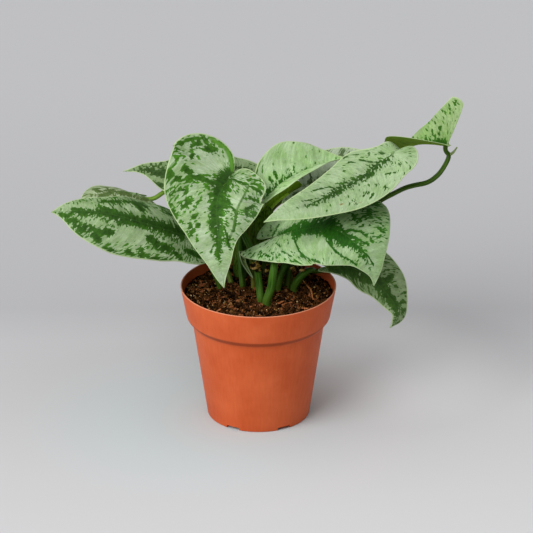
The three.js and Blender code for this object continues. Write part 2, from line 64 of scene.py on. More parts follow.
def feed(tree, target, inputs):
    """Sets inputs of a node. An input is a value, or a node or socket to link from."""
    shown = [socket for socket in target.inputs if socket.enabled]
    for key, value in inputs.items():
        socket = shown[key] if isinstance(key, int) else next(s for s in shown if s.name == key)
        if isinstance(value, bpy.types.Node):
            value = next(s for s in value.outputs if s.enabled)
        if isinstance(value, bpy.types.NodeSocket):
            tree.links.new(value, socket)
        else:
            socket.default_value = value


def node(tree, kind, inputs=None, **settings):
    """Adds a node with its settings and its inputs."""
    new = tree.nodes.new(kind)
    for name, value in settings.items():
        setattr(new, name, value)
    feed(tree, new, inputs or {})
    return new


def new_material(name):
    """An empty material, the tree it stands in and its Principled shader."""
    material = bpy.data.materials.new(name)
    material.use_nodes = True
    tree = material.node_tree
    return material, tree, tree.nodes["Principled BSDF"]


def select(piece):
    bpy.ops.object.select_all(action="DESELECT")
    piece.select_set(True)
    bpy.context.view_layer.objects.active = piece


def primitive(name, add, **settings):
    """Adds a primitive by its operator, with nothing else selected, and names it."""
    bpy.ops.object.select_all(action="DESELECT")
    add(**settings)
    piece = bpy.context.object
    piece.name = piece.data.name = name
    return piece


def modify(piece, kind, **settings):
    """Adds a modifier with its settings and applies it."""
    select(piece)
    modifier = piece.modifiers.new(kind.title(), kind)
    for name, value in settings.items():
        setattr(modifier, name, value)
    bpy.ops.object.modifier_apply(modifier=modifier.name)


def merge_doubles(piece):
    select(piece)
    bpy.ops.object.mode_set(mode="EDIT")
    bpy.ops.mesh.select_all(action="SELECT")
    bpy.ops.mesh.remove_doubles(threshold=MERGE_DISTANCE * MM)
    bpy.ops.object.mode_set(mode="OBJECT")


def smooth(piece, angle):
    """Shades a piece smooth, but for edges where its faces turn by more than the angle."""
    select(piece)
    bpy.ops.object.shade_smooth_by_angle(angle=math.radians(angle))


def positions(mesh):
    values = np.empty(3 * len(mesh.vertices))
    mesh.vertices.foreach_get("co", values)
    return values.reshape(-1, 3)


def place_vertices(mesh, places):
    mesh.vertices.foreach_set("co", np.asarray(places).ravel())
    mesh.update()


def sheet_grid(name, across, along):
    """A flat grid two units wide, with the way across on X and the way along on Y."""
    add = bpy.ops.mesh.primitive_grid_add
    return primitive(name, add, x_subdivisions=across, y_subdivisions=along, size=2)


def loop_vertices(mesh):
    """The vertex of each loop, for maps that take the place of the primitive's own."""
    while mesh.uv_layers:
        mesh.uv_layers.remove(mesh.uv_layers[0])
    loops = np.empty(len(mesh.loops), int)
    mesh.loops.foreach_get("vertex_index", loops)
    return loops


def paint_map(mesh, name, places):
    """Adds a UV map from a pair of millimetres for each loop."""
    layer = mesh.uv_layers.new(name=name)
    layer.data.foreach_set("uv", (places / MAP_UNIT).ravel())


def paint_value(mesh, name, values):
    """Adds an attribute from one number for each vertex."""
    attribute = mesh.attributes.new(name=name, type="FLOAT", domain="POINT")
    attribute.data.foreach_set("value", np.asarray(values, dtype=float))


def finish(piece, materials, nodes=()):
    """Gives a finished piece its materials, its body and the nodes it stands for."""
    for place, material in enumerate(materials):
        if place < len(piece.data.materials):
            piece.data.materials[place] = material
        else:
            piece.data.materials.append(material)
    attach(piece, "root")
    if nodes:
        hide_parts(*nodes)


# ---------------------------------------------------------------- routes

# Steps between two given points of a route before its places are evened out.
ROUTE_STEPS = 40


def smooth_route(points, steps):
    """Evenly spaced points on a smooth curve through the given ones, and the curve's length."""
    given = np.array(points, float)
    given = np.vstack([2 * given[0] - given[1], given, 2 * given[-1] - given[-2]])
    x = np.linspace(0, 1, ROUTE_STEPS, endpoint=False)[:, None]
    spans = []
    for a, b, c, d in zip(given, given[1:], given[2:], given[3:]):
        bend = (2 * a - 5 * b + 4 * c - d) * x ** 2 + (3 * b - a - 3 * c + d) * x ** 3
        spans.append(b + 0.5 * ((c - a) * x + bend))
    dense = np.vstack(spans + [given[-2:-1]])
    travelled = np.r_[0, np.cumsum(np.linalg.norm(np.diff(dense, axis=0), axis=1))]
    even = np.linspace(0, travelled[-1], steps + 1)
    route = np.stack([np.interp(even, travelled, dense[:, k]) for k in range(3)], axis=1)
    return route, travelled[-1]


def unit(vectors):
    return vectors / np.linalg.norm(vectors, axis=-1, keepdims=True)


# ---------------------------------------------------------------- the plant's shape

# Each blade grows along its midrib, from the stalk to the tip.
#   rib     points on the midrib
#   face    direction of the upper face, at the stalk and on towards the tip
#   left, right   the two half blades, seen from above with the tip away:
#     lobe    how far the lobe reaches back behind the stalk, and how far out its end lies
#     width   half widths at WIDTH_STATIONS; the tip itself is 0
#     fold    angle at which the half leaves the midrib, up from flat, in degrees
#     cup     further bend of the half on its way to the margin, in degrees
#     lift    bend of the lobe behind the stalk, in degrees
#     point   0 for a round lobe, 1 for a straight-sided one
#     crown   the same for the outer side of the lobe, where it differs; below 0 it is squarer
#     crease  [s, t, s, t, angle]: a valley fold between two places of the half
#   grid    rows from the notch to the tip and columns on each half, where it isn't BLADE_GRID
#   wave    height, count and phase of the margin's waves
#   core    [s, left, right]: half widths of the dark core beside the midrib
#   strokes places [s, t] in the flat blade, half width and strength: green above 0, silver below
#   blemishes   places of rust-coloured specks
#   tones   the same, with the amount of painted light on the skin or, below 0, of painted shade
#   bare    the same, with the strength of bands of plain green on rolled folds, lighter as painted light
#   look    colours, the level of the pattern above which the blade is green, and the patches' size
WIDTH_STATIONS = [0, 0.2, 0.4, 0.6, 0.8, 0.93, 1]

LEAVES = {
    "front_heart": {
        "rib": [[-22, 12, 191], [-31, -2, 180], [-31, -20, 160], [-29, -30, 141], [-26, -35, 120]],
        "face": [[0, -0.75, 0.66], [0, -0.95, 0.3]],
        "left": {"lobe": [14, 10], "width": [30, 36, 31.5, 15, 7.5, 2], "crease": [0, 17, 56, 10, 16]},
        "right": {
            "lobe": [25, 24],
            "width": [50, 43, 31.5, 20.5, 9.5, 4],
            "cup": [14, 10, 0],
            "point": -0.15,
            "crown": 0,
        },
        "wave": [0.5, 3, 0.1],
        "core": [
            [-8, 0, 4], [0, 2, 9], [8, 5, 9], [16, 5, 6], [22, 9, 5], [28, 7, 5], [36, 4, 5.5],
            [42, 4.5, 7], [48, 6, 3.5], [56, 3.5, 3], [63, 3, 4], [69, 1.5, 2], [74, 0, 0],
        ],
        "strokes": [
            [[[11, -8], [12, -16], [13, -25], [12, -33]], 1.8, 0.8],
            [[[16, -26], [17, -36], [16, -42]], 1.2, 0.6],
            [[[20, -24], [21, -34]], 1.2, 0.6],
            [[[0, 2], [-1, 10], [-1, 20], [1, 29]], 1, 0.95],
            [[[6, 20], [6, 29]], 1.6, 0.6],
            [[[32, 15], [40, 14], [47, 12.5]], 0.9, 1.3],
            [[[20, 8], [26, 11], [33, 16]], 1.4, 0.9],
            [[[43, 5], [50, 7], [61, 8.5]], 1, 0.9],
            [[[28, 27], [30, 23]], 2.6, 0.8],
            [[[36, 28]], 3, 0.8],
            [[[31, 22], [37, 23.5]], 1.1, 0.9],
            [[[8, 29], [17, 29]], 1.1, 0.6],
            [[[-6, 16], [-4, 27]], 4, 0.35],
            [[[56, -3], [62, -6]], 1.3, 0.7],
            [[[-15, -21], [-12, -28]], 2.6, 0.7],
            [[[-15, -34], [-8, -37]], 2.2, 0.7],
            [[[-2, -33], [4, -33]], 1.6, 0.9],
            [[[-21, -12], [-22, -22], [-19, -33], [-10, -44], [0, -47], [6, -46]], 2.2, 0.55],
            [[[-3, -1], [-10, -3], [-19, -9]], 1.6, 0.9],
            [[[24, -21], [28, -26]], 2.2, 0.6],
            [[[35, -18], [34, -14]], 1.8, 0.7],
            [[[41, -14]], 2.2, 0.9],
            [[[40, -21], [48, -20]], 1.8, 0.6],
            [[[27, -35], [34, -31]], 1.8, 0.5],
            [[[18, -38], [22, -34]], 2, 0.4],
            [[[-6, -15], [2, -22], [4, -27]], 6, -0.6],
            [[[12, 14], [26, 15]], 4, -0.8],
            [[[14, 23], [24, 23]], 3.5, -0.9],
            [[[60, -5], [88, -1]], 9, -0.6],
            [[[30, -10], [50, -11]], 4, -0.6],
            [[[60, 4], [80, 3]], 3, -0.4],
        ],
        "blemishes": [[[-9, 13]]],
        # Painted shade along and beyond the crease of the left half, and painted light and shade elsewhere.
        "tones": [
            [[[7, 25], [25, 28], [41, 24], [52, 19]], 7, -0.3],
            [[[0, 16], [8, 17.5], [20, 18], [33, 15], [46, 12], [57, 7]], 0.9, -0.4],
            [[[-5, -37], [-1, -27], [-14, -25]], 14, -0.12],
            [[[12, 13], [28, 13]], 4, 0.1],
            [[[-2, -4], [14, -5]], 5, -0.3],
            [[[30, -4], [52, -3]], 2.5, -0.15],
            [[[16, 3], [34, 5], [50, 3]], 2, 0.3],
        ],
        "lit_fold_green": [
            [[[-22, -28], [-21, -14], [-15, -7], [-7, -1]], 1.7, 0.9],
            [[[0, 16], [8, 17.5], [20, 18], [33, 15], [46, 12]], 0.8, 0.8],
        ],
        "look": {
            "silver": "#B2C7A1", "fresh": "#94B176", "green": "#487F1C", "deep": "#2A4F12",
            "lit_fold_green": "#5A8F2E",
            "level": 0.555, "blotch": 2.3,
        },
    },
    "left_large": {
        "rib": [
            [-56, 6, 145], [-74, 1, 154], [-91, -3, 161], [-110, -6, 168], [-132, -6, 171],
            [-158, -2, 169],
        ],
        "face": [[0.1, -0.45, 0.9], [0, -0.45, 0.9]],
        "left": {"lobe": [22, 12], "width": [23.5, 29.5, 32.5, 32, 21, 6], "cup": [-25, -25, -15]},
        "right": {"lobe": [20, 14], "width": [28, 32, 30, 20, 13.5, 7], "cup": [-32, -32, -10]},
        "wave": [0.6, 4, 0.3],
        "core": [
            [0, 3, 4], [8, 5, 7], [16, 5, 7], [24, 4, 5.5], [32, 4, 6.5], [40, 4, 4.5], [48, 5, 5],
            [56, 7, 3.5], [64, 4, 4], [72, 3.5, 3], [80, 3.5, 1], [88, 3, 2], [98, 0, 0],
        ],
        "strokes": [
            [[[14, 17], [22, 18], [26, 15], [31, 13]], 3.6, 0.9],
            [[[-12, 14], [-2, 13]], 2.6, 1],
            [[[3, 21], [11, 17]], 2.4, 0.7],
            [[[15, 27], [24, 28], [31, 29]], 2, 0.6],
            [[[36, 25], [36, 29]], 2, 0.8],
            [[[42, 29], [46, 28]], 2, 0.7],
            [[[55, 31], [64, 30]], 1.6, 0.6],
            [[[60, 16], [69, 18]], 3.2, 0.85],
            [[[70, 24], [73, 21]], 3, 0.9],
            [[[77, 15], [84, 16]], 4, 0.75],
            [[[84, 24]], 2, 0.5],
            [[[88, 11], [93, 9]], 3, 0.6],
            [[[96, 5], [100, 3]], 2.2, 0.6],
            [[[37, -15], [42, -21], [34, -22]], 3.6, 0.8],
            [[[12, -20], [18, -27]], 2.6, 0.5],
            [[[46, -20], [60, -15], [72, -12]], 2.2, 0.55],
            [[[62, -3], [70, -4]], 2.4, 0.7],
            [[[84, -2], [93, -2]], 1.8, 0.6],
            [[[36, 14], [50, 15], [56, 20]], 6, -0.7],
            [[[20, -13], [25, -18]], 4, -0.7],
            [[[42, -9], [48, -13]], 3, -0.6],
            [[[80, -6], [98, -3]], 4, -0.5],
            [[[32, -5]], 2, -0.6],
            [[[20, 22], [32, 24]], 2, -0.4],
            [[[70, 10], [76, 9]], 3, -0.5],
        ],
        "tones": [
            [[[0, -4], [20, -4], [44, -3]], 6, -0.15],
            [[[10, 24], [40, 26], [70, 24]], 5, 0.06],
        ],
        "look": {
            "silver": "#A3B98E", "fresh": "#88A56D", "green": "#406F1E", "deep": "#284815",
            "level": 0.535, "blotch": 2.2,
        },
    },
    "left_behind": {
        "rib": [[-94, 38, 167], [-108, 35, 170], [-124, 32, 166], [-139, 29, 151]],
        "face": [[0, -0.2, 0.98], [-0.4, -0.3, 0.85]],
        "left": {
            "lobe": [26, 12],
            "width": [20, 24, 22, 17, 9, 3],
            "fold": [-40, -25, -20],
            "cup": [-20],
            "lift": -20,
            "point": 0.5,
        },
        "right": {"lobe": [10, 8], "width": [12, 12, 14, 17, 13, 5], "fold": [-40, -5, 10]},
        "wave": [0.5, 3, 0],
        "core": [[0, 3, 3], [20, 3, 3], [35, 2, 3], [50, 0, 0]],
        "strokes": [[[[18, -4], [27, -6], [30, -12]], 2.6, 0.6], [[[-8, 4], [0, 3]], 2, 0.6]],
        "look": {
            "silver": "#AAB896", "fresh": "#93A57B", "green": "#5F7540", "deep": "#4A5F2E",
            "level": 0.57,
        },
    },
    "back_left": {
        "rib": [[-20, 44, 178], [-45, 48, 182], [-76, 51, 180], [-92, 51, 181], [-105, 50, 181]],
        "face": [[0, -0.4, 0.9], [0, -0.4, 0.9]],
        "left": {"lobe": [20, 14], "width": [26, 30, 28, 21.5, 5, 0.8]},
        "right": {"lobe": [20, 14], "width": [22, 24, 20, 12.5, 8, 2.4]},
        "wave": [0.6, 3, 0.4],
        "core": [[0, 6, 4], [20, 8, 5], [50, 7, 4], [58, 5, 2], [66, 2, 3], [76, 0, 0]],
        "strokes": [
            [[[56, 15], [61, 13]], 2.6, 0.8],
            [[[-12, -12], [2, -11]], 1.4, 0.6],
            [[[0, -20], [-8, -19], [-15, -16]], 6, -0.3],
            [[[58, 8], [66, 6]], 2.4, -0.5],
        ],
        "look": {
            "silver": "#8FA678", "fresh": "#7F9A63", "green": "#42602A", "deep": "#2E481B",
            "level": 0.53,
        },
    },
    "top_centre": {
        "rib": [[5, 15, 173], [19, 26, 182], [39, 41, 187], [51, 50, 188], [68, 58, 189]],
        "face": [[0.1, -0.3, 0.95]],
        "left": {"lobe": [6, 12], "width": [17, 24.5, 28, 21, 9.6, 2.5], "fold": [42]},
        "right": {"lobe": [8, 6], "width": [12, 22, 24, 16, 10, 3], "fold": [42]},
        "wave": [0.5, 3, 0.2],
        "core": [
            [-4, 0, 0], [0, 3, 2], [6, 5.5, 3], [10, 6, 2], [15, 5, 1.5], [20, 4, 1.5], [26, 3.5, 0.8],
            [32, 3, 0.6], [40, 1.2, 0.5], [50, 0.8, 0.4], [60, 0.4, 0.3], [70, 0, 0],
        ],
        "strokes": [
            [[[12, 5], [13, 9]], 1.3, 0.9],
            [[[17, 5], [19, 11]], 1.2, 0.9],
            [[[24, 3], [28, 7]], 1.2, 0.8],
            [[[32, 4], [36, 8]], 1, 0.7],
            [[[42, 23]], 1.3, 0.9],
            [[[28, 23], [27, 22]], 1.2, 0.6],
            [[[-1, 4], [2, 10], [6, 17], [9, 21], [16, 24.5]], 2.4, 0.8],
            [[[4, -5], [18, -7], [30, -7]], 4, 0.3],
        ],
        "tones": [
            [[[12, 12], [30, 12], [50, 10]], 9, 0.05],
            [[[2, 12], [8, 20]], 5, -0.15],
            [[[0, -4], [30, -6], [60, -3]], 6, -0.12],
        ],
        "lit_fold_green": [[[[-2, 3], [0, 9], [4, 16], [8, 21], [16, 25]], 1.6, 0.7]],
        "look": {
            "silver": "#BFDBA8", "fresh": "#A5CC82", "green": "#4A8426", "deep": "#33651A",
            "lit_fold_green": "#7CA544",
            "level": 0.73, "blotch": 2.2,
        },
    },
    "right_upper": {
        "rib": [[102, 10, 212], [74, -6, 197], [43, -24, 187], [23, -33, 182], [4, -38, 176]],
        "face": [[0.1, -0.35, 0.93], [0, -0.35, 0.93]],
        "left": {"lobe": [16, 7], "width": [22, 27, 25.8, 19.3, 10.3, 3]},
        "right": {"lobe": [12, 5], "width": [13, 24, 21, 16, 11, 4.5], "lift": -70},
        "wave": [0.4, 3, 0],
        "core": [
            [0, 2, 0.5], [6, 5, 1], [12, 5, 1.5], [18, 5, 4], [24, 7, 2], [30, 5, 2], [38, 4.5, 3],
            [46, 4, 4], [52, 4.5, 4.5], [58, 5, 2], [66, 5, 1], [74, 4.5, 0.6], [82, 2, 0.6],
            [90, 0.7, 0.5], [94, 0, 0],
        ],
        "strokes": [
            [[[12, -1], [16, -4], [20, -10], [22, -13]], 1.1, 0.9],
            [[[53, -4], [58, -7], [62, -9], [68, -10]], 1, 0.8],
            [[[68, -1], [76, -3], [81, -5]], 0.8, 0.8],
            [[[5, -5], [6, -8]], 1.6, 0.9],
            [[[13, -13], [16, -11]], 1.1, 0.6],
            [[[21, -18]], 1.8, 0.8],
            [[[26, -14], [31, -18]], 1.2, 0.7],
            [[[30, -23]], 1.8, 0.9],
            [[[2, 12]], 1.8, 0.9],
            [[[9, 16], [12, 13], [16, 11]], 0.9, 0.8],
            [[[24, 22]], 2, 0.9],
            [[[27, 15]], 1.6, 0.9],
            [[[34, 20], [38, 22]], 1.4, 0.9],
            [[[36, 16], [40, 17]], 1.5, 0.8],
            [[[48, 15], [50, 20]], 1, 0.7],
            [[[4, 4], [8, 8]], 1, 0.7],
            [[[80, 8], [98, 2]], 6, -0.6],
        ],
        "blemishes": [[[58, 14], [59, 14]], [[46, 20.5]]],
        "tones": [
            [[[20, -2], [50, 1], [80, 1]], 6, -0.14],
            [[[0, 6], [6, 16], [20, 22]], 6, 0.06],
            [[[60, -9], [84, -4]], 5, -0.08],
        ],
        "look": {
            "silver": "#A9C095", "fresh": "#93B278", "green": "#406C1F", "deep": "#294C15",
            "level": 0.68, "blotch": 1.8,
        },
    },
    "back_right": {
        "rib": [[35, 42, 172], [53, 57, 175], [77, 69, 178], [103, 75, 180]],
        "face": [[0, -0.75, 0.65], [0, -0.6, 0.8]],
        "left": {"lobe": [1, 6], "width": [14, 19, 20.5, 17.5, 10, 4]},
        "right": {"lobe": [26, 5], "width": [15, 23, 24, 18, 9, 3]},
        "wave": [0.5, 3, 0.3],
        "core": [[0, 0.6, 0.6], [15, 0.5, 0.5], [40, 1, 1], [60, 1, 1], [70, 0, 0]],
        "strokes": [
            [[[12, 9], [10, 3], [6, 0], [7, -5]], 1.6, 0.9],
            [[[42, 12], [46, 16]], 2.4, 0.8],
            [[[33, 18]], 2, 0.7],
            [[[-12, -3], [-4, -6], [4, -8]], 2.5, 0.8],
            [[[13, 8], [24, 10], [36, 12]], 5, -0.5],
        ],
        "look": {
            "silver": "#B4C4A8", "fresh": "#A3B791", "green": "#6A8052", "deep": "#516740",
            "level": 0.64, "blotch": 2.6,
        },
    },
    "right_lower": {
        "rib": [
            [19, -4, 151], [35, -12, 159], [52, -20, 164], [67, -28, 160], [79, -34, 150], [85, -36, 137],
            [88, -36, 122],
        ],
        "face": [[0, -0.4, 0.92], [0.15, -0.6, 0.78], [0.4, -0.85, 0.25]],
        "left": {
            "lobe": [35, 17],
            "width": [33, 36, 42, 45, 17.5, 6],
            "cup": [-20],
            "lift": -20,
            "crown": -0.3,
        },
        "right": {"lobe": [38, 9], "width": [27, 32.5, 33, 27, 10.5, 1.5], "cup": [-20], "point": 0.6},
        "wave": [0.6, 4, 0.1],
        "core": [
            [-6, 3, 0.5], [2, 6, 1], [8, 8, 3], [14, 9, 9], [20, 9, 7], [28, 9, 8], [36, 10, 8.5],
            [42, 10, 10], [48, 6, 13], [54, 4, 11], [60, 4, 6.5], [68, 2, 6], [74, 1.5, 3],
            [80, 0.8, 1.5], [92, 0, 0],
        ],
        "strokes": [
            [[[13, -8], [16, -15], [20, -21], [24, -26], [30, -29], [40, -30], [52, -30]], 1.1, 0.95],
            [[[46, -12], [52, -14], [58, -15.5], [66, -15], [74, -12], [80, -10]], 1, 0.95],
            [[[12, 0], [30, 1], [44, -3], [58, -4]], 6.5, 1.15],
            [[[52, 3], [58, 7], [63, 10], [67, 11]], 1.3, 0.85],
            [[[60, 2], [68, 5], [72, 7]], 1.2, 0.8],
            [[[74, 0], [80, 2], [87, 3]], 0.9, 0.95],
            [[[-18, -12], [-15, -16], [-8, -20]], 1, 0.9],
            [[[-4, -8], [0, -12]], 0.8, 0.8],
            [[[2, -17], [8, -21], [12, -24]], 0.8, 0.9],
            [[[28, -22], [34, -25], [42, -25.5]], 0.7, 0.5],
            [[[-28, -13], [-10, -20], [8, -25], [22, -29]], 4, 0.25],
            [[[56, 44], [52, 35], [56, 26]], 5, 0.5],
            [[[60, 22], [52, 18]], 4, 0.5],
            [[[72, 14], [70, 22], [62, 33]], 4, 0.35],
            [[[-10, 2], [-9, 14]], 1.6, 0.8],
            [[[-14, 8], [-20, 20]], 0.9, 0.9],
            [[[-24, 8], [-32, 22]], 0.9, 0.8],
            [[[-34, 14], [-40, 26]], 0.9, 0.7],
            [[[-44, 20], [-28, 14], [-16, 18], [-6, 18]], 9, -0.7],
            [[[22, -14], [34, -18], [44, -20]], 7, -0.7],
            [[[58, -11], [72, -9]], 3, -0.6],
            [[[80, 10], [95, 3]], 7, -0.6],
        ],
        # The first two tones are painted light on both lobes, which lie in the shade of the blades above
        # and in front.
        "tones": [
            [[[-42, 30], [-28, 16], [-20, 24], [-8, 18]], 12, 0.55],
            [[[-38, -6], [-24, -12]], 9, 0.5],
            [[[40, 3], [56, 1]], 4, -0.15],
        ],
        "look": {
            "silver": "#ADC898", "fresh": "#92B873", "green": "#3E7520", "deep": "#285C15",
            "level": 0.625, "blotch": 2.2,
        },
    },
    "right_hanging": {
        "rib": [[54, 10, 118], [71, 8, 118], [87, 4, 110], [101, 0, 97], [107, -2, 84], [102, -4, 72]],
        "face": [[0, -0.4, 0.92], [0.4, -0.6, 0.7], [0.8, -0.6, -0.1]],
        "left": {"lobe": [10, 8], "width": [20, 27, 28, 24.5, 13, 8]},
        "right": {"lobe": [8, 4], "width": [5, 10, 12.3, 10, 6.5, 2], "fold": [-30]},
        "wave": [0.8, 4, 0.2],
        "core": [[0, 6, 4], [20, 7, 6], [40, 6, 3], [60, 3, 3], [76, 0, 0]],
        "strokes": [
            [[[41, 3], [45, 8], [46, 14]], 2, 0.8],
            [[[54, 3], [58, 8]], 3, -0.5],
            [[[50, 20], [57, 15]], 3, -0.5],
        ],
        "look": {
            "silver": "#9AB082", "fresh": "#84A16A", "green": "#466A2A", "deep": "#33521E",
            "level": 0.51,
        },
    },
    "top_right": {
        "rib": [
            [144, 16, 217], [133, 17, 218], [122, 21, 216], [112, 29, 209], [103, 39, 200], [96, 47, 190],
        ],
        "face": [[0, -0.1, 1]],
        "left": {"lobe": [3, 4], "width": [10, 14, 17, 16, 8.4, 3], "fold": [24, 50, 75]},
        "right": {
            "lobe": [8.4, 31],
            "width": [37, 17, 6.4, 4.5, 4, 2],
            "fold": [65, 60, 55],
            "point": 0.8,
            "crown": 0,
        },
        "wave": [0.3, 2, 0],
        "core": [[0, 2, 3], [6, 3, 5], [12, 3, 4], [18, 2, 3], [24, 1, 1], [60, 0, 0]],
        "strokes": [
            [[[7, -6], [7, -14]], 1, 0.8],
            [[[11, -5], [12, -10]], 0.9, 0.7],
            [[[1, -24], [3, -31]], 0.9, 0.9],
            [[[-3, -28], [-2, -33]], 0.9, 0.8],
            [[[5, -22], [8, -27]], 0.9, 0.6],
            [[[5, 1], [6, 10]], 1.4, 0.6],
        ],
        "look": {
            "silver": "#A4BF84", "fresh": "#92B86A", "green": "#4A7E22", "deep": "#2F5C17",
            "level": 0.65, "blotch": 1.8,
        },
    },
    "small_scale": {
        "rib": [[-13.5, 18.5, 126], [-11, 12, 119], [-4, 5, 110]],
        "face": [[0.5, -0.7, 0.5]],
        "left": {"lobe": [1, 1], "width": [2.4, 2.6, 2.2, 1.6, 1, 0.5], "fold": [20]},
        "right": {"lobe": [1, 1], "width": [2.4, 2.6, 2.2, 1.6, 1, 0.5], "fold": [20]},
        "grid": [24, 4],
        "tones": [[[[0, -2], [24, -1.6]], 2, -0.5]],
        "look": {
            "silver": "#93AB66", "fresh": "#8BA65C", "green": "#5F7F38", "deep": "#4A6A2A",
            "level": 0.56,
        },
    },
}

# The winged sheath of the rear stalk, a narrow channel with a blunt end.
BACK_SHEATH = {
    "rib": [[-1, 43, 136], [5, 45, 146.5], [14, 47, 157], [24, 47.5, 164.5], [36, 46.5, 171]],
    "face": [[-0.35, -0.7, 0.65]],
    "left": {"lobe": [1, 1], "width": [4.5, 5.5, 6, 6, 6, 5.5], "fold": [40]},
    "right": {"lobe": [1, 1], "width": [4, 4.5, 5, 5, 5, 4.5], "fold": [40]},
    "grid": [30, 8],
}

# Each stalk stands in the mix and ends under the base of its blade.
#   foot    where it stands
#   path    points on its way up
#   radius  at the foot and at the blade
#   reach   how far behind and how far under the blade's base it comes in
#   upright its end meets the blade, where others lie along the midrib's underside
STALKS = {
    "front_right": {
        "foot": [6.5, -21],
        "path": [[10, -19, 114], [12, -15, 129]],
        "blade": "right_lower",
        "radius": [3.3, 2.4],
        "reach": [12, 7.5],
        "tissue": "stalk_green",
    },
    "front_left": {
        "foot": [1.5, -17],
        "path": [
            [0.5, -10, 112], [-0.5, 1, 119], [-2, 8, 126], [-8.5, 14, 137], [-14, 16, 150], [-16, 17, 165],
        ],
        "blade": "front_heart",
        "radius": [2.7, 2.1],
        "reach": [8, 8.5],
        "tissue": "stalk_green",
    },
    "right_hanging": {
        "foot": [27, 3],
        "path": [[32, 3, 112], [39, 6, 117]],
        "blade": "right_hanging",
        "radius": [3.4, 2.1],
        "reach": [10, 5.5],
        "tissue": "stalk_green",
    },
    "top_right": {
        "foot": [22, 10],
        "path": [
            [28, 14, 122], [60, 28, 147], [84, 26, 161], [101, 22, 172.5], [114, 20.3, 180],
            [128, 18.5, 184.3], [136, 18, 189.8], [142, 17.3, 198.5], [145, 17, 207],
        ],
        "blade": "top_right",
        "radius": [2.8, 2],
        "reach": [-1, 5.5],
        "upright": True,
        "tissue": "stalk_dark",
    },
    "right_upper": {
        "foot": [15, 4],
        "path": [[18, 5, 116], [26, 10, 134], [50, 20, 160], [84, 24, 192]],
        "blade": "right_upper",
        "radius": [2.8, 2.2],
        "reach": [10, 9.5],
        "tissue": "stalk_green",
    },
    "back_right": {
        "foot": [24, 17],
        "path": [[14, 33, 126], [4.5, 45.5, 141], [10.5, 48.5, 150.5], [21, 50, 159.5]],
        "blade": "back_right",
        "radius": [3, 2.6],
        "reach": [6, 5.5],
        "tissue": "stalk_olive",
    },
    "top_centre": {
        "foot": [-3, 7.5],
        "path": [[-4.5, 16, 120], [-8, 22, 138], [-5.5, 20.5, 152]],
        "blade": "top_centre",
        "radius": [2.7, 2.2],
        "reach": [9, 7.5],
        "tissue": "stalk_olive",
    },
    "left_large": {
        "foot": [-30, 8],
        "path": [[-36, 8, 118], [-44, 10, 134]],
        "blade": "left_large",
        "radius": [2.4, 2],
        "reach": [7, 6.5],
        "tissue": "stalk_green",
    },
    "left_behind": {
        "foot": [-22, 18],
        "path": [[-34, 36, 128], [-52, 44, 158], [-68, 43, 168]],
        "blade": "left_behind",
        "radius": [2.2, 1.8],
        "reach": [13, 3],
        "tissue": "stalk_lime",
    },
    "back_left": {
        "foot": [-12, 10],
        "path": [[-13.5, 17, 118], [-13.5, 27, 134], [-10, 40, 160]],
        "blade": "back_left",
        "radius": [2.6, 2.1],
        "reach": [8, 7.5],
        "tissue": "stalk_green",
    },
}

# A dried leaf scale sticks out of the tall stalk just under its blade.
SCALE_STUB = {"route": [[145.5, 17, 208], [148.8, 17, 210.2], [151.5, 17, 214.5]], "radius": [1.3, 0.5]}

SOIL_LEVEL = 100
STALK_DEPTH = 16
STALK_RISE = 4


# ---------------------------------------------------------------- leaf blades

# Rows from the notch to the tip and columns on each half, and how the columns crowd to the midrib.
BLADE_GRID = [140, 44]
COLUMN_CROWDING = 1.25

# Rows that lie in the lobe, and how much of the lobe's outline they take in.
LOBE_ROWS = 0.3
LOBE_TAKEN = 0.9

# How a row bends on its way from the midrib to the margin, on along the blade and out from it.
ROW_SWEEP = 1.25
ROW_SPREAD = 0.95

MIDRIB_STEPS = 200
LOBE_STEPS = 24
SIDE_STEPS = 60
CREASE_FADING = 20

# Angles in radians under which a half blade counts as flat.
LEAST_LIFT = 1e-4
LEAST_CUP = 1e-3

# The wall is thinner at the margin: its share there, and how far in it reaches the whole.
BLADE_THICKNESS = 0.7
MARGIN_SHARE = 0.45
MARGIN_TAPER = 3
UNDERSIDE_SLOT = 1
MARGIN_SLOT = 2

# The midrib stands out below, from a little behind the stalk, and lies in a groove above.
KEEL_HEIGHT = 1.1
KEEL_WIDTH = 1.2
KEEL_TAPER = 0.7
KEEL_START = -2
GROOVE_DEPTH = 0.2
GROOVE_WIDTH = 1.6

# Side veins, with the blade quilted between them and slowly swelling over its face.
VEIN_LEAN = 0.3
VEIN_CURL = 12
VEIN_FAN = 25
VEIN_SPACING = 9
VEIN_SIDE_SHIFT = 500
MIN_QUILTED_WIDTH = 5
QUILT_HEIGHT = 0.14
QUILT_START = 15
SWELL_HEIGHT = 0.5

# Markings: the core's frayed edge and strength, and how far past its half width a stroke fades.
CORE_FRAY = 6
CORE_STRENGTH = 0.9
STROKE_REACH = 1.4
SOFT_REACH = 1.5
BLEMISH_RADIUS = 0.6
BLEMISH_REACH = 1.6


def along(values, fraction):
    """Values given at even steps, read at fractions of the way."""
    if len(values) == 1:
        return values[0]
    return np.interp(fraction, np.linspace(0, 1, len(values)), values)


class Midrib:
    """The midrib's centre line with the directions on, up and to the left at each place."""

    def __init__(self, leaf):
        self.centre, self.length = smooth_route(leaf["rib"], MIDRIB_STEPS)
        self.fractions = np.linspace(0, 1, MIDRIB_STEPS + 1)
        self.forward = unit(np.gradient(self.centre, axis=0))
        faces = unit(np.array(leaf["face"], float))
        level = np.ones(MIDRIB_STEPS + 1)
        up = np.stack([along(faces[:, k], self.fractions) * level for k in range(3)], axis=1)
        self.up = unit(up - (up * self.forward).sum(axis=1, keepdims=True) * self.forward)
        self.left = np.cross(self.up, self.forward)

    def at(self, fraction):
        """Centre, forward, up and left at fractions of the length."""
        return [
            np.stack([np.interp(fraction, self.fractions, line[:, k]) for k in range(3)], axis=-1)
            for line in (self.centre, self.forward, self.up, self.left)
        ]


def half_of(leaf, side):
    return leaf["left"] if side > 0 else leaf["right"]


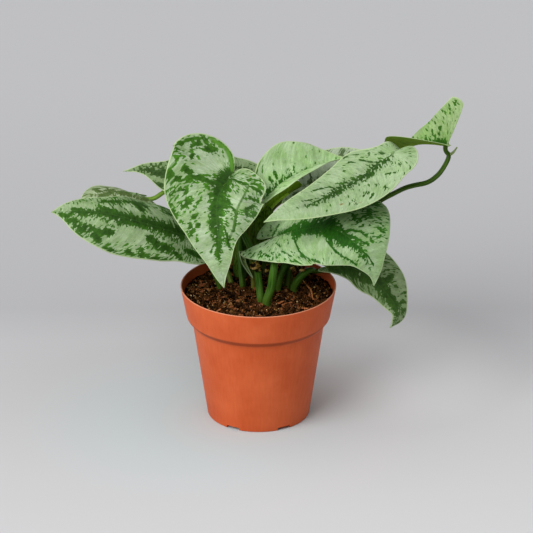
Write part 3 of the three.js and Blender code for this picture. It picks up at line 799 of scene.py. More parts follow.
def half_width(widths, x):
    """Smooth half width at fractions of the midrib, through the widths at the stations."""
    stations = np.array(WIDTH_STATIONS)
    w = np.array(list(widths) + [0.0])
    slopes = np.gradient(w, stations)
    slopes[0] = 0
    i = np.clip(np.searchsorted(stations, x, side="right") - 1, 0, len(w) - 2)
    h = stations[i + 1] - stations[i]
    t = (x - stations[i]) / h
    value = (2 * t ** 3 - 3 * t ** 2 + 1) * w[i] + (t ** 3 - 2 * t ** 2 + t) * h * slopes[i]
    value += (-2 * t ** 3 + 3 * t ** 2) * w[i + 1] + (t ** 3 - t ** 2) * h * slopes[i + 1]
    return np.maximum(value, 0)


def half_outline(length, half):
    """The flat outline of a half blade, from the notch at the stalk round the lobe to the tip, with
    the way gone at each place and at the lobe's end, as shares of the whole."""
    back, out = half["lobe"]
    point = half.get("point", 0)
    crown = half.get("crown", point)
    shoulder = half["width"][0]
    turn = np.linspace(0, math.pi / 2, LOBE_STEPS + 1)
    opening = (1 - point) * (1 - np.cos(turn)) + point * np.sin(turn)
    closing = (1 - crown) * np.sin(turn) + crown * (1 - np.cos(turn))
    rear = np.stack([-back * np.sin(turn), out * opening], axis=1)
    front = np.stack([-back * np.cos(turn), out + (shoulder - out) * closing], axis=1)
    x = np.linspace(0, 1, SIDE_STEPS + 1)[1:]
    side = np.stack([x * length, half_width(half["width"], x)], axis=1)
    places = np.vstack([rear, front[1:], side])
    travelled = np.r_[0, np.cumsum(np.linalg.norm(np.diff(places, axis=0), axis=1))]
    lobe_end = len(rear) + len(front) - 2
    return places, travelled / travelled[-1], travelled[lobe_end] / travelled[-1]


def blade_point(leaf, midrib, side, s, t):
    """Where flat places of one half lie in space, and the blade's up direction there."""
    half = half_of(leaf, side)
    fraction = np.clip(s / midrib.length, 0, 1)
    centre, forward, up, left = midrib.at(fraction)
    behind = np.maximum(-s, 0)
    lift = math.radians(half.get("lift", 0)) or LEAST_LIFT
    back = half["lobe"][0]
    retreat = back / lift * np.sin(lift * behind / back)
    rise = back / lift * (1 - np.cos(lift * behind / back))
    fold = np.radians(along(half.get("fold", [0]), fraction))
    bend = np.radians(along(half.get("cup", [0]), fraction))
    bend = np.where(np.abs(bend) < LEAST_CUP, LEAST_CUP, bend)
    radius = max(half["width"]) / bend
    out = radius * (np.sin(fold + t / radius) - np.sin(fold))
    high = rise + radius * (np.cos(fold) - np.cos(fold + t / radius))
    if "crease" in half:
        s0, t0, s1, t1, angle = half["crease"]
        valley = t0 + (t1 - t0) * (s - s0) / (s1 - s0)
        fading = np.clip((s1 - s) / CREASE_FADING, 0, 1)
        high = high + math.tan(math.radians(angle)) * np.maximum(t - valley, 0) * fading
    point = centre - retreat[:, None] * forward + high[:, None] * up + side * out[:, None] * left
    return point, up


def vein_place(leaf, side, s, t):
    """Place between the side veins: across them, and along them from the midrib.

    The veins leave the midrib leaning to the tip and turn with the margin, and those of the lobe
    spread from the stalk like a fan.
    """
    ahead = s - VEIN_CURL * (t / max(half_of(leaf, side)["width"])) ** 4
    lean = np.arctan2(t, ahead)
    fan_edge = math.atan2(1, VEIN_LEAN)
    in_fan = lean > fan_edge
    across = np.where(in_fan, (fan_edge - lean) * VEIN_FAN, ahead - VEIN_LEAN * t)
    onward = np.where(in_fan, np.hypot(ahead, t), t * math.hypot(1, VEIN_LEAN))
    return np.stack([across + VEIN_SIDE_SHIFT * (side < 0), onward], axis=1)


def blade_relief(leaf, vein, across, s, t):
    """Height of the quilting between the side veins, of the slow swells and of the midrib's groove."""
    if max(leaf["left"]["width"]) < MIN_QUILTED_WIDTH:
        return 0 * s
    middle = 4 * across * (1 - across)
    quilt = -QUILT_HEIGHT * np.cos(2 * math.pi * vein[:, 0] / VEIN_SPACING) * middle
    quilt = quilt * np.clip(s / QUILT_START, 0, 1)
    phase = leaf["rib"][0][0]
    swells = SWELL_HEIGHT * np.sin(0.16 * s + 0.11 * t + phase) * np.sin(0.13 * t - 0.07 * s + 0.5 * phase)
    groove = -GROOVE_DEPTH * np.exp(-(t / GROOVE_WIDTH) ** 2)
    return quilt + swells * middle + groove


def half_places(leaf, midrib, side, row, across):
    """Where the grid's places on one half lie in space, in the flat and between the veins, and how
    far the margin is."""
    places, travelled, lobe_share = half_outline(midrib.length, half_of(leaf, side))
    lobe_taken = lobe_share * LOBE_TAKEN
    onward = np.clip((row - LOBE_ROWS) / (1 - LOBE_ROWS), 0, 1)
    share = np.where(row < LOBE_ROWS, row / LOBE_ROWS * lobe_taken, lobe_taken + (1 - lobe_taken) * onward)
    s_margin = np.interp(share, travelled, places[:, 0])
    t_margin = np.interp(share, travelled, places[:, 1])
    s_rib = onward * midrib.length
    s = s_rib + (s_margin - s_rib) * across ** ROW_SWEEP
    t = t_margin * across ** ROW_SPREAD
    height, count, phase = leaf.get("wave", [0, 0, 0])
    waves = height * np.sin(2 * math.pi * (count * share + phase * side)) * np.sin(math.pi * share)
    vein = vein_place(leaf, side, s, t)
    relief = waves * across ** 2 + blade_relief(leaf, vein, across, s, side * t)
    point, up = blade_point(leaf, midrib, side, s, t)
    return {
        "point": point + relief[:, None] * up,
        "flat": np.stack([s, side * t], axis=1),
        "vein": vein,
        "rim": ((1 - across) * np.hypot(s_margin - s_rib, t_margin))[:, None],
    }


def stroke_distance(places, s, t):
    """How far each flat place is from a stroke, which may be a single dot."""
    far = np.hypot(s - places[0][0], t - places[0][1])
    for (s0, t0), (s1, t1) in zip(places, places[1:]):
        step = np.array([s1 - s0, t1 - t0], float)
        part = np.clip(((s - s0) * step[0] + (t - t0) * step[1]) / (step @ step), 0, 1)
        far = np.minimum(far, np.hypot(s - s0 - part * step[0], t - t0 - part * step[1]))
    return far


def ink(leaf, s, t):
    """How strongly each flat place is drawn to green, by the core and the strokes; silver is below 0."""
    core = np.array(leaf.get("core", [[0, 0, 0]]), float)
    width = np.where(t > 0, np.interp(s, core[:, 0], core[:, 1]), np.interp(s, core[:, 0], core[:, 2]))
    inside = (s >= core[0, 0]) & (s <= core[-1, 0])
    drawn = np.clip((width - np.abs(t)) / CORE_FRAY + 0.5, 0, 1) * np.clip(width, 0, 1) * inside
    drawn = drawn * CORE_STRENGTH
    for places, width, strength in leaf.get("strokes", []):
        reach = np.clip(STROKE_REACH - stroke_distance(places, s, t) / width, 0, 1)
        greener = np.maximum(drawn, strength * reach)
        drawn = greener if strength > 0 else drawn + strength * reach * (1 - drawn)
    return drawn


def stroke_sum(strokes, s, t):
    """Sum of soft strokes at each flat place."""
    total = 0 * s
    for places, width, amount in strokes:
        reach = np.clip(SOFT_REACH - stroke_distance(places, s, t) / width, 0, 1)
        total = total + amount * reach * reach * (3 - 2 * reach)
    return total


def blemish(leaf, s, t):
    """Strength of the rust-coloured specks at each flat place."""
    strength = 0 * s
    for places in leaf.get("blemishes", []):
        near = np.clip(BLEMISH_REACH - stroke_distance(places, s, t) / BLEMISH_RADIUS, 0, 1)
        strength = np.maximum(strength, near)
    return strength


def blade_piece(name, leaf, thickness=BLADE_THICKNESS):
    """A closed thin blade: a grid laid into the blade's shape, given its wall and its keel."""
    rows, columns = leaf.get("grid", BLADE_GRID)
    piece = sheet_grid(name, 2 * columns, rows)
    mesh = piece.data
    grid = positions(mesh)
    midrib = Midrib(leaf)
    row = (grid[:, 1] + 1) / 2
    across = np.abs(grid[:, 0]) ** COLUMN_CROWDING
    left, right = (half_places(leaf, midrib, side, row, across) for side in (1, -1))
    on_left = grid[:, :1] < 0
    whole = {key: np.where(on_left, left[key], right[key]) for key in left}
    s, t = whole["flat"].T
    rim = whole["rim"][:, 0]

    loops = loop_vertices(mesh)
    corners = [len(polygon.vertices) for polygon in mesh.polygons]
    loop_left = np.repeat([polygon.center.x < 0 for polygon in mesh.polygons], corners)[:, None]
    paint_map(mesh, "blade", np.where(loop_left, left["flat"][loops], right["flat"][loops]))
    paint_map(mesh, "veins", np.where(loop_left, left["vein"][loops], right["vein"][loops]))
    paint_value(mesh, "ink", ink(leaf, s, t))
    paint_value(mesh, "blemish", blemish(leaf, s, t))
    # The tones are painted light and, below 0, painted shade on the skin.
    paint_value(mesh, "tone", 1 + stroke_sum(leaf.get("tones", []), s, t))
    # Bands of lighter plain green, painted as light on rolled folds.
    paint_value(mesh, "lit_fold_green", stroke_sum(leaf.get("lit_fold_green", []), s, t))
    paint_value(mesh, "rim", rim)
    keel = np.exp(-(t / KEEL_WIDTH) ** 2) * np.clip(1 - s / midrib.length, 0, 1) ** KEEL_TAPER
    paint_value(mesh, "keel", keel * (s > KEEL_START))
    wall = piece.vertex_groups.new(name="wall")
    shares = MARGIN_SHARE + (1 - MARGIN_SHARE) * np.clip(rim / MARGIN_TAPER, 0, 1)
    for index, share in enumerate(shares):
        wall.add([index], float(share), "REPLACE")
    place_vertices(mesh, whole["point"] * MM)
    merge_doubles(piece)

    # The wall's faces can only be given slots that are there already.
    for _ in range(MARGIN_SLOT + 1):
        mesh.materials.append(None)
    modify(
        piece,
        "SOLIDIFY",
        thickness=thickness * MM,
        offset=0,
        vertex_group="wall",
        material_offset=UNDERSIDE_SLOT,
        material_offset_rim=MARGIN_SLOT,
    )
    raise_keel(piece)
    select(piece)
    bpy.ops.object.shade_smooth()
    piece.vertex_groups.clear()
    return piece


def raise_keel(piece):
    """Raises the midrib along the underside, where it stands out as a rounded keel."""
    mesh = piece.data
    under = np.zeros(len(mesh.vertices))
    for polygon in mesh.polygons:
        if polygon.material_index == UNDERSIDE_SLOT:
            under[list(polygon.vertices)] = 1
    keel = np.array([item.value for item in mesh.attributes["keel"].data])
    normals = np.array([vertex.normal for vertex in mesh.vertices])
    rise = under * keel * KEEL_HEIGHT * MM
    place_vertices(mesh, positions(mesh) + normals * rise[:, None])


# ---------------------------------------------------------------- leaf stalks

STALK_SIDES = 20
RING_SPACING = 1.6
MIN_RINGS = 6

# Steps that are enough to measure a route.
ROUGH_STEPS = 10

# A stalk swells and thins a little on its way, and has a channel along the side to the pot's axis.
RIPPLE = 0.05
CHANNEL_DEPTH = 0.3
CHANNEL_SPREAD = 0.22

# The foot is stouter, and the end under the blade thinner.
FOOT_SWELL = 1.12
END_TAPER = 0.75

# An upright stalk ends this far on from the base of its blade and under it.
UPRIGHT_END = (1.5, 0.6)

# Other stalks lie along the midrib from this far on, to a place this far on and under it.
SEAT_START = 1
SEAT_END = (9, 1.1)


def carried_frames(route, reference):
    """Directions across a route, turned as little as can be from one place to the next."""
    forward = unit(np.gradient(route, axis=0))
    across = []
    current = np.array(reference, float)
    for direction in forward:
        current = current - (current @ direction) * direction
        current = current / np.linalg.norm(current)
        across.append(current)
    across = np.array(across)
    return across, np.cross(forward, across)


def tube_piece(name, points, radii, channel_depth=0.0, reference=(0, 1, 0), sides=STALK_SIDES):
    """A closed tube: a grid rolled round its route, with a shallow channel along one side."""
    rings = max(int(smooth_route(points, ROUGH_STEPS)[1] / RING_SPACING), MIN_RINGS)
    route, length = smooth_route(points, rings)
    across, beside = carried_frames(route, reference)
    piece = sheet_grid(name, rings, sides)
    mesh = piece.data
    grid = positions(mesh)
    ring = np.rint((grid[:, 0] + 1) / 2 * rings).astype(int)
    angle = (grid[:, 1] + 1) * math.pi
    gone = ring / rings * length
    taper = along(list(radii), ring / rings)
    swelling = 1 + RIPPLE * np.sin(0.35 * gone) * np.sin(angle + 0.1 * gone)
    channel = 1 - channel_depth * np.exp(-((np.cos(angle) - 1) / CHANNEL_SPREAD) ** 2)
    radius = taper * swelling * channel
    places = route[ring] + (radius * np.cos(angle))[:, None] * across[ring]
    places = places + (radius * np.sin(angle))[:, None] * beside[ring]

    loops = loop_vertices(mesh)
    paint_map(mesh, "stalk", np.stack([gone, angle * taper.mean()], axis=1)[loops])
    place_vertices(mesh, places * MM)
    merge_doubles(piece)
    bpy.ops.object.mode_set(mode="EDIT")
    bpy.ops.mesh.select_all(action="SELECT")
    bpy.ops.mesh.fill_holes(sides=0)
    bpy.ops.mesh.normals_make_consistent(inside=False)
    bpy.ops.object.mode_set(mode="OBJECT")
    smooth(piece, 60)
    return piece


def stalk_points(stalk):
    """The stalk's route from inside the mix to the underside of its blade's midrib."""
    leaf = LEAVES[stalk["blade"]]
    midrib = Midrib(leaf)
    x, y = stalk["foot"]
    points = [[x, y, SOIL_LEVEL + rise] for rise in (-STALK_DEPTH / 2, 0, STALK_RISE)] + stalk["path"]
    (base,), (forward,), (up,), _ = midrib.at(np.array([0.0]))
    behind, under = stalk["reach"]
    points.append(base - behind * forward - under * up)
    if stalk.get("upright"):
        onward, under = UPRIGHT_END
        points.append(base + onward * forward - under * up)
        return points
    droop = min([half_of(leaf, side).get("fold", [0])[0] for side in (1, -1)] + [0])
    seat = (stalk["radius"][1] + BLADE_THICKNESS / 2) / math.cos(math.radians(droop))
    points.append(base + SEAT_START * forward - seat * up)
    onward, under = SEAT_END
    (far,), _, (far_up,), _ = midrib.at(np.array([onward / midrib.length]))
    points.append(far - under * far_up)
    return points


# ---------------------------------------------------------------- plant materials

# The satin pattern. Its fields are about 2 mm long along the veins, where their map is drawn in.
FIELD_WIDTH = 1.1
FIELD_SQUEEZE = 0.52
BLOTCH_SIZE = 2.6
VEINLET_SPACING = 1.5
VEINLET_WIDTH = 0.22
GRAIN_SIZE = 0.6
SLOW_PATCH_SIZE = 13
DEEP_PATCH_SIZE = 5
STREAK_WIDTH = 2.6
STREAK_SQUEEZE = 0.14


def satin_fields(tree, veins, drawn, look, seed):
    """The fields of the pattern: each one's own tones, how far it is drawn to green, and whether it is."""
    squeezed = node(
        tree,
        "ShaderNodeMapping",
        {"Vector": veins, "Scale": (1, FIELD_SQUEEZE, 1), "Location": (seed, 0.37 * seed, 0)},
    )
    fields = node(
        tree,
        "ShaderNodeTexVoronoi",
        {"Vector": squeezed, "Scale": MAP_UNIT / FIELD_WIDTH, "Randomness": 1},
    )
    blotches = node(
        tree,
        "ShaderNodeTexNoise",
        {
            "Vector": fields.outputs["Position"],
            "Scale": MAP_UNIT / look.get("blotch", BLOTCH_SIZE),
            "Detail": 2,
        },
    )
    tones = node(tree, "ShaderNodeSeparateColor", {"Color": fields.outputs["Color"]})
    broken = node(
        tree,
        "ShaderNodeMath",
        {0: tones.outputs["Red"], 1: 0.2, 2: blotches.outputs["Fac"]},
        operation="MULTIPLY_ADD",
    )
    pull = node(
        tree, "ShaderNodeMath", {0: drawn.outputs["Fac"], 1: 0.34, 2: broken}, operation="MULTIPLY_ADD"
    )
    green_share = node(
        tree,
        "ShaderNodeMapRange",
        {"Value": pull, "From Min": look["level"] + 0.1, "From Max": look["level"] + 0.12},
        interpolation_type="SMOOTHSTEP",
    )
    return tones, pull, green_share


def satin_silver(tree, tones, pull, grain, slow, look):
    """Silver: greener in slow patches, with single fields darker, and a fine grain."""
    greener = node(
        tree,
        "ShaderNodeMapRange",
        {"Value": slow.outputs["Fac"], "From Min": 0.42, "From Max": 0.62, "To Min": 0.0, "To Max": 0.8},
    )
    silver = node(
        tree,
        "ShaderNodeMix",
        {0: greener, "A": srgb(look["silver"]), "B": srgb(look["fresh"])},
        data_type="RGBA",
    )
    thinner_air = node(
        tree,
        "ShaderNodeMapRange",
        {
            "Value": pull,
            "From Min": look["level"] - 0.12,
            "From Max": look["level"] + 0.1,
            "To Min": 0.0,
            "To Max": 0.38,
        },
    )
    dull_fields = node(
        tree, "ShaderNodeMath", {0: tones.outputs["Blue"], 1: thinner_air}, operation="MULTIPLY"
    )
    mottled = node(
        tree, "ShaderNodeMix", {0: dull_fields, "A": silver, "B": srgb(look["green"])}, data_type="RGBA"
    )
    grain_light = node(
        tree,
        "ShaderNodeMapRange",
        {"Value": grain.outputs["Fac"], "From Min": 0.3, "From Max": 0.7, "To Min": 0.78, "To Max": 0.98},
    )
    light = node(
        tree,
        "ShaderNodeMath",
        {0: tones.outputs["Green"], 1: 0.16, 2: grain_light},
        operation="MULTIPLY_ADD",
    )
    return node(tree, "ShaderNodeVectorMath", {0: mottled, "Scale": light}, operation="SCALE")


def satin_green(tree, blade, tones, drawn, look):
    """Green: leaf green in the blotches, deep green in the core, lighter and darker by the field."""
    depth = node(
        tree, "ShaderNodeTexNoise", {"Vector": blade, "Scale": MAP_UNIT / DEEP_PATCH_SIZE, "Detail": 4}
    )
    core_share = node(
        tree, "ShaderNodeMath", {0: drawn.outputs["Fac"], 1: 0.8, 2: -0.3}, operation="MULTIPLY_ADD"
    )
    deep_share = node(
        tree, "ShaderNodeMath", {0: depth.outputs["Fac"], 1: 0.9, 2: core_share}, operation="MULTIPLY_ADD"
    )
    green = node(
        tree,
        "ShaderNodeMix",
        {0: deep_share, "A": srgb(look["green"]), "B": srgb(look["deep"])},
        data_type="RGBA",
        clamp_factor=True,
    )
    light = node(
        tree, "ShaderNodeMapRange", {"Value": tones.outputs["Green"], "To Min": 0.78, "To Max": 1.22}
    )
    return node(tree, "ShaderNodeVectorMath", {0: green, "Scale": light}, operation="SCALE")


def satin_leaf(name, look, seed):
    """Leaf skin of a satin pothos. Air under the skin makes silver patches on a green, softly glossy
    blade. They end in steps, because each small field between the veinlets is silver or green as a
    whole, the core by the midrib stays dark, and a pale line about 0.8 mm wide runs round the margin."""
    material, tree, skin = new_material(name)
    veins = node(tree, "ShaderNodeUVMap", uv_map="veins")
    blade = node(tree, "ShaderNodeUVMap", uv_map="blade")
    drawn, rim, speck, tone, lit_fold_green = (
        node(tree, "ShaderNodeAttribute", attribute_name=painted)
        for painted in ("ink", "rim", "blemish", "tone", "lit_fold_green")
    )
    grain = node(tree, "ShaderNodeTexNoise", {"Vector": blade, "Scale": MAP_UNIT / GRAIN_SIZE, "Detail": 2})
    slow = node(
        tree, "ShaderNodeTexNoise", {"Vector": blade, "Scale": MAP_UNIT / SLOW_PATCH_SIZE, "Detail": 4}
    )
    tones, pull, green_share = satin_fields(tree, veins, drawn, look, seed)
    silver = satin_silver(tree, tones, pull, grain, slow, look)

    # The veinlets show as slightly darker lines in the silver.
    vein_places = node(tree, "ShaderNodeSeparateXYZ", {"Vector": veins})
    bent = node(
        tree,
        "ShaderNodeMath",
        {0: slow.outputs["Fac"], 1: 0.02, 2: vein_places.outputs["X"]},
        operation="MULTIPLY_ADD",
    )
    from_veinlet = node(
        tree, "ShaderNodeMath", {0: bent, 1: VEINLET_SPACING / 2 / MAP_UNIT}, operation="PINGPONG"
    )
    veinlet = node(
        tree,
        "ShaderNodeMapRange",
        {
            "Value": from_veinlet,
            "From Min": 0.0,
            "From Max": VEINLET_WIDTH / MAP_UNIT,
            "To Min": 0.13,
            "To Max": 0.0,
        },
    )
    lined = node(
        tree, "ShaderNodeMix", {0: veinlet, "A": silver, "B": srgb(look["green"])}, data_type="RGBA"
    )
    green = satin_green(tree, blade, tones, drawn, look)
    patched = node(tree, "ShaderNodeMix", {0: green_share, "A": lined, "B": green}, data_type="RGBA")

    # Bands of plain green, lighter as painted light on rolled folds, then light and dark streaks that run
    # with the side veins.
    banded = node(
        tree,
        "ShaderNodeMix",
        {0: lit_fold_green.outputs["Fac"], "A": patched, "B": srgb(look.get("lit_fold_green", look["green"]))},
        data_type="RGBA",
    )
    drawn_out = node(tree, "ShaderNodeMapping", {"Vector": veins, "Scale": (1, STREAK_SQUEEZE, 1)})
    streaks = node(
        tree, "ShaderNodeTexNoise", {"Vector": drawn_out, "Scale": MAP_UNIT / STREAK_WIDTH, "Detail": 3}
    )
    streak_light = node(
        tree,
        "ShaderNodeMapRange",
        {
            "Value": streaks.outputs["Fac"],
            "From Min": 0.34,
            "From Max": 0.66,
            "To Min": 0.86,
            "To Max": 1.09,
        },
    )
    # Painted light and shade: the blade's tones make the skin brighter or duller in places.
    light = node(tree, "ShaderNodeMath", {0: streak_light, 1: tone.outputs["Fac"]}, operation="MULTIPLY")
    toned = node(tree, "ShaderNodeVectorMath", {0: banded, "Scale": light}, operation="SCALE")

    # Rust-coloured specks, the midrib as a fine line, and the pale margin.
    blade_places = node(tree, "ShaderNodeSeparateXYZ", {"Vector": blade})
    from_rib = node(tree, "ShaderNodeMath", {0: blade_places.outputs["Y"]}, operation="ABSOLUTE")
    rib_line = node(
        tree,
        "ShaderNodeMapRange",
        {
            "Value": from_rib,
            "From Min": 0.2 / MAP_UNIT,
            "From Max": 0.6 / MAP_UNIT,
            "To Min": 0.12,
            "To Max": 0.0,
        },
    )
    margin_share = node(
        tree,
        "ShaderNodeMapRange",
        {"Value": rim.outputs["Fac"], "From Min": 0.5, "From Max": 1.1, "To Min": 0.85, "To Max": 0.0},
    )
    layers = [(speck.outputs["Fac"], "#7E6424"), (rib_line, look["rib"]), (margin_share, look["margin"])]
    colour = toned
    for share, code in layers:
        colour = node(tree, "ShaderNodeMix", {0: share, "A": colour, "B": srgb(code)}, data_type="RGBA")

    roughness = node(tree, "ShaderNodeMapRange", {"Value": green_share, "To Min": 0.52, "To Max": 0.42})
    puckers = node(
        tree, "ShaderNodeMath", {0: streaks.outputs["Fac"], 1: 1.6, 2: veinlet}, operation="MULTIPLY_ADD"
    )
    relief = node(
        tree, "ShaderNodeMath", {0: grain.outputs["Fac"], 1: 0.5, 2: puckers}, operation="MULTIPLY_ADD"
    )
    bump = node(tree, "ShaderNodeBump", {"Height": relief, "Strength": 0.5, "Distance": 0.4 * MM})
    feed(tree, skin, {"Base Color": colour, "Roughness": roughness, "Normal": bump})
    feed(tree, skin, {"IOR": 1.4, "Specular IOR Level": 0.14})
    return material


def leaf_underside(name, pale, dark):
    """Underside of the leaf: matte pale green with faint side veins 6 mm apart and no silver."""
    material, tree, skin = new_material(name)
    veins = node(tree, "ShaderNodeUVMap", uv_map="veins")
    place = node(tree, "ShaderNodeSeparateXYZ", {"Vector": veins})
    from_vein = node(
        tree, "ShaderNodeMath", {0: place.outputs["X"], 1: 6 / 2 / MAP_UNIT}, operation="PINGPONG"
    )
    vein_share = node(
        tree,
        "ShaderNodeMapRange",
        {"Value": from_vein, "From Min": 0.0, "From Max": 0.6 / MAP_UNIT, "To Min": 0.45, "To Max": 0.0},
    )
    mottle = node(tree, "ShaderNodeTexNoise", {"Vector": veins, "Scale": MAP_UNIT / 6, "Detail": 4})
    share = node(
        tree, "ShaderNodeMath", {0: mottle.outputs["Fac"], 1: 0.8, 2: vein_share}, operation="MULTIPLY_ADD"
    )
    colour = node(
        tree,
        "ShaderNodeMix",
        {0: share, "A": srgb(pale), "B": srgb(dark)},
        data_type="RGBA",
        clamp_factor=True,
    )
    bump = node(tree, "ShaderNodeBump", {"Height": vein_share, "Strength": 0.4, "Distance": 0.3 * MM})
    feed(tree, skin, {"Base Color": colour, "Normal": bump, "Roughness": 0.7, "Specular IOR Level": 0.03})
    return material


def leaf_margin(name, colour, deep):
    """The blade's cut-thin edge: a hard, translucent rim, pale with a few greener stretches of 9 mm."""
    material, tree, skin = new_material(name)
    veins = node(tree, "ShaderNodeUVMap", uv_map="veins")
    stretches = node(tree, "ShaderNodeTexNoise", {"Vector": veins, "Scale": MAP_UNIT / 9, "Detail": 2})
    mixed = node(
        tree,
        "ShaderNodeMix",
        {0: stretches.outputs["Fac"], "A": srgb(colour), "B": srgb(deep)},
        data_type="RGBA",
    )
    feed(tree, skin, {"Base Color": mixed, "Roughness": 0.45, "Specular IOR Level": 0.25})
    return material


def stalk_skin(name, green, light, base):
    """Leaf stalk: smooth, firm and softly glossy, with stripes of 0.9 mm along it, pale flecks about
    2 mm apart, and a yellower foot where it leaves the mix."""
    material, tree, skin = new_material(name)
    stalk = node(tree, "ShaderNodeUVMap", uv_map="stalk")
    drawn_out = node(tree, "ShaderNodeMapping", {"Vector": stalk, "Scale": (0.06, 1, 1)})
    stripes = node(tree, "ShaderNodeTexNoise", {"Vector": drawn_out, "Scale": MAP_UNIT / 0.9, "Detail": 3})
    stripe_share = node(
        tree,
        "ShaderNodeMapRange",
        {"Value": stripes.outputs["Fac"], "From Min": 0.35, "From Max": 0.7, "To Min": 0.0, "To Max": 0.8},
    )
    flecks = node(tree, "ShaderNodeTexVoronoi", {"Vector": stalk, "Scale": MAP_UNIT / 2.2})
    fleck_share = node(
        tree,
        "ShaderNodeMapRange",
        {
            "Value": flecks.outputs["Distance"],
            "From Min": 0.08,
            "From Max": 0.2,
            "To Min": 0.35,
            "To Max": 0.0,
        },
    )
    place = node(tree, "ShaderNodeSeparateXYZ", {"Vector": stalk})
    foot_share = node(
        tree,
        "ShaderNodeMapRange",
        {
            "Value": place.outputs["X"],
            "From Min": 10 / MAP_UNIT,
            "From Max": 24 / MAP_UNIT,
            "To Min": 0.5,
            "To Max": 0.0,
        },
        interpolation_type="SMOOTHSTEP",
    )
    layers = [(stripe_share, light), (fleck_share, light), (foot_share, base)]
    colour = srgb(green)
    for share, code in layers:
        colour = node(tree, "ShaderNodeMix", {0: share, "A": colour, "B": srgb(code)}, data_type="RGBA")
    bump = node(
        tree, "ShaderNodeBump", {"Height": stripes.outputs["Fac"], "Strength": 0.3, "Distance": 0.2 * MM}
    )
    feed(tree, skin, {"Base Color": colour, "Normal": bump, "Roughness": 0.45, "Specular IOR Level": 0.1})
    return material


def dry_sheath(name, pale, dark):
    """Old leaf sheath: papery and matte, with fibres of 0.8 mm along it."""
    material, tree, skin = new_material(name)
    place = node(tree, "ShaderNodeTexCoord").outputs["Object"]
    drawn_out = node(tree, "ShaderNodeMapping", {"Vector": place, "Scale": (1, 1, 0.25)})
    fibres = node(tree, "ShaderNodeTexNoise", {"Vector": drawn_out, "Scale": 1 / (0.8 * MM), "Detail": 4})
    share = node(
        tree, "ShaderNodeMapRange", {"Value": fibres.outputs["Fac"], "From Min": 0.35, "From Max": 0.65}
    )
    colour = node(tree, "ShaderNodeMix", {0: share, "A": srgb(pale), "B": srgb(dark)}, data_type="RGBA")
    bump = node(tree, "ShaderNodeBump", {"Height": share, "Strength": 0.5, "Distance": 0.3 * MM})
    feed(tree, skin, {"Base Color": colour, "Normal": bump, "Roughness": 0.85, "Specular IOR Level": 0.1})
    return material


def crumpled_tissue(name):
    """Dried bits of sheath: crumpled and rough, near-black with brown blots and torn cream spots."""
    material, tree, skin = new_material(name)
    place = node(tree, "ShaderNodeTexCoord").outputs["Object"]
    blots = node(tree, "ShaderNodeTexNoise", {"Vector": place, "Scale": 1 / (3.2 * MM), "Detail": 3})
    colour = srgb("#120A04")
    for start, full, code in [(0.47, 0.56, "#7E6A26"), (0.61, 0.67, "#CDA970")]:
        share = node(
            tree,
            "ShaderNodeMapRange",
            {"Value": blots.outputs["Fac"], "From Min": start, "From Max": full},
        )
        colour = node(tree, "ShaderNodeMix", {0: share, "A": colour, "B": srgb(code)}, data_type="RGBA")
    feed(tree, skin, {"Base Color": colour, "Roughness": 0.85, "Specular IOR Level": 0.1})
    return material


# ---------------------------------------------------------------- the plant

# Greens of the stalks: skin, stripes and foot.
TISSUES = {
    "stalk_green": ["#26490A", "#55822A", "#4E6420"],
    "stalk_dark": ["#2C470A", "#58792A", "#5B6B2A"],
    "stalk_olive": ["#3C4E0C", "#667A26", "#7A6C2A"],
    "stalk_lime": ["#5E8428", "#8CAC48", "#8C8E44"],
}

# Leaves with a darker, olive underside.
OLIVE_BACKS = ("top_right", "right_hanging")

# Crumpled, dried bits of old sheaths between the stalks: middle and size along X, Y and Z.
CRUMPLED_BITS = [
    ([-0.8, -5, 125.2], [9, 4, 7]),
    ([7.4, -7, 123], [4.5, 3.5, 8]),
    ([31, -1, 121.5], [9, 4, 6.5]),
]

# Their folds and finer ridges, by how many there are and how deep, and a hollow in front.
FOLDS = (3.2, 0.75)
RIDGES = (8, 0.3)
HOLLOW_DEPTH = 0.75
HOLLOW_HALF_WIDTH = 0.22
HOLLOW_HALF_HEIGHT = 0.25

# Old sheaths behind the stalks, dark as painted shade where they fill the shaded depth of the plant:
# where each starts and ends, and its half width.
DARK_SHEATHS = [
    ([-14, 24, 103], [-12.5, 30, 152], 7.5),
    ([-4, 30, 103], [-1, 37, 158], 8),
    ([9, 29, 103], [7, 37, 158], 8),
]
SHEATH_FACE = [0, -1, 0.1]
SHEATH_BOW = 0.8
SHEATH_WIDTHS = [0.8, 1, 1, 0.95, 0.75, 0.45]
SHEATH_THICKNESS = 0.5
WING_THICKNESS = 0.8


def make_blades():
    underside = leaf_underside("leaf_underside_pale_green", "#8CA874", "#6C8B52")
    olive_underside = leaf_underside("leaf_underside_olive", "#728F30", "#577520")
    margin = leaf_margin("leaf_margin_pale", "#BBD09B", "#93B06E")
    for seed, (name, leaf) in enumerate(LEAVES.items()):
        piece = blade_piece(f"leaf_{name}", leaf)
        look = {"rib": "#5B8440", "margin": "#BCD19C", **leaf["look"]}
        skin = satin_leaf(f"satin_leaf_skin_{name}", look, seed + 1.3)
        below = olive_underside if name in OLIVE_BACKS else underside
        finish(piece, [skin, below, margin], [f"blade_{name}"])


def make_stalks():
    skins = {name: stalk_skin(f"{name}_skin", *colours) for name, colours in TISSUES.items()}
    for name, stalk in STALKS.items():
        start, end = stalk["radius"]
        last = end if "upright" in stalk else end * END_TAPER
        radii = [start * FOOT_SWELL, start, start, (start + end) / 2, end, end, last]
        toward_axis = [-stalk["foot"][0], -stalk["foot"][1] + 1, 0]
        piece = tube_piece(f"petiole_{name}", stalk_points(stalk), radii, CHANNEL_DEPTH, toward_axis)
        finish(piece, [skins[stalk["tissue"]]], [f"stalk_{name}"])


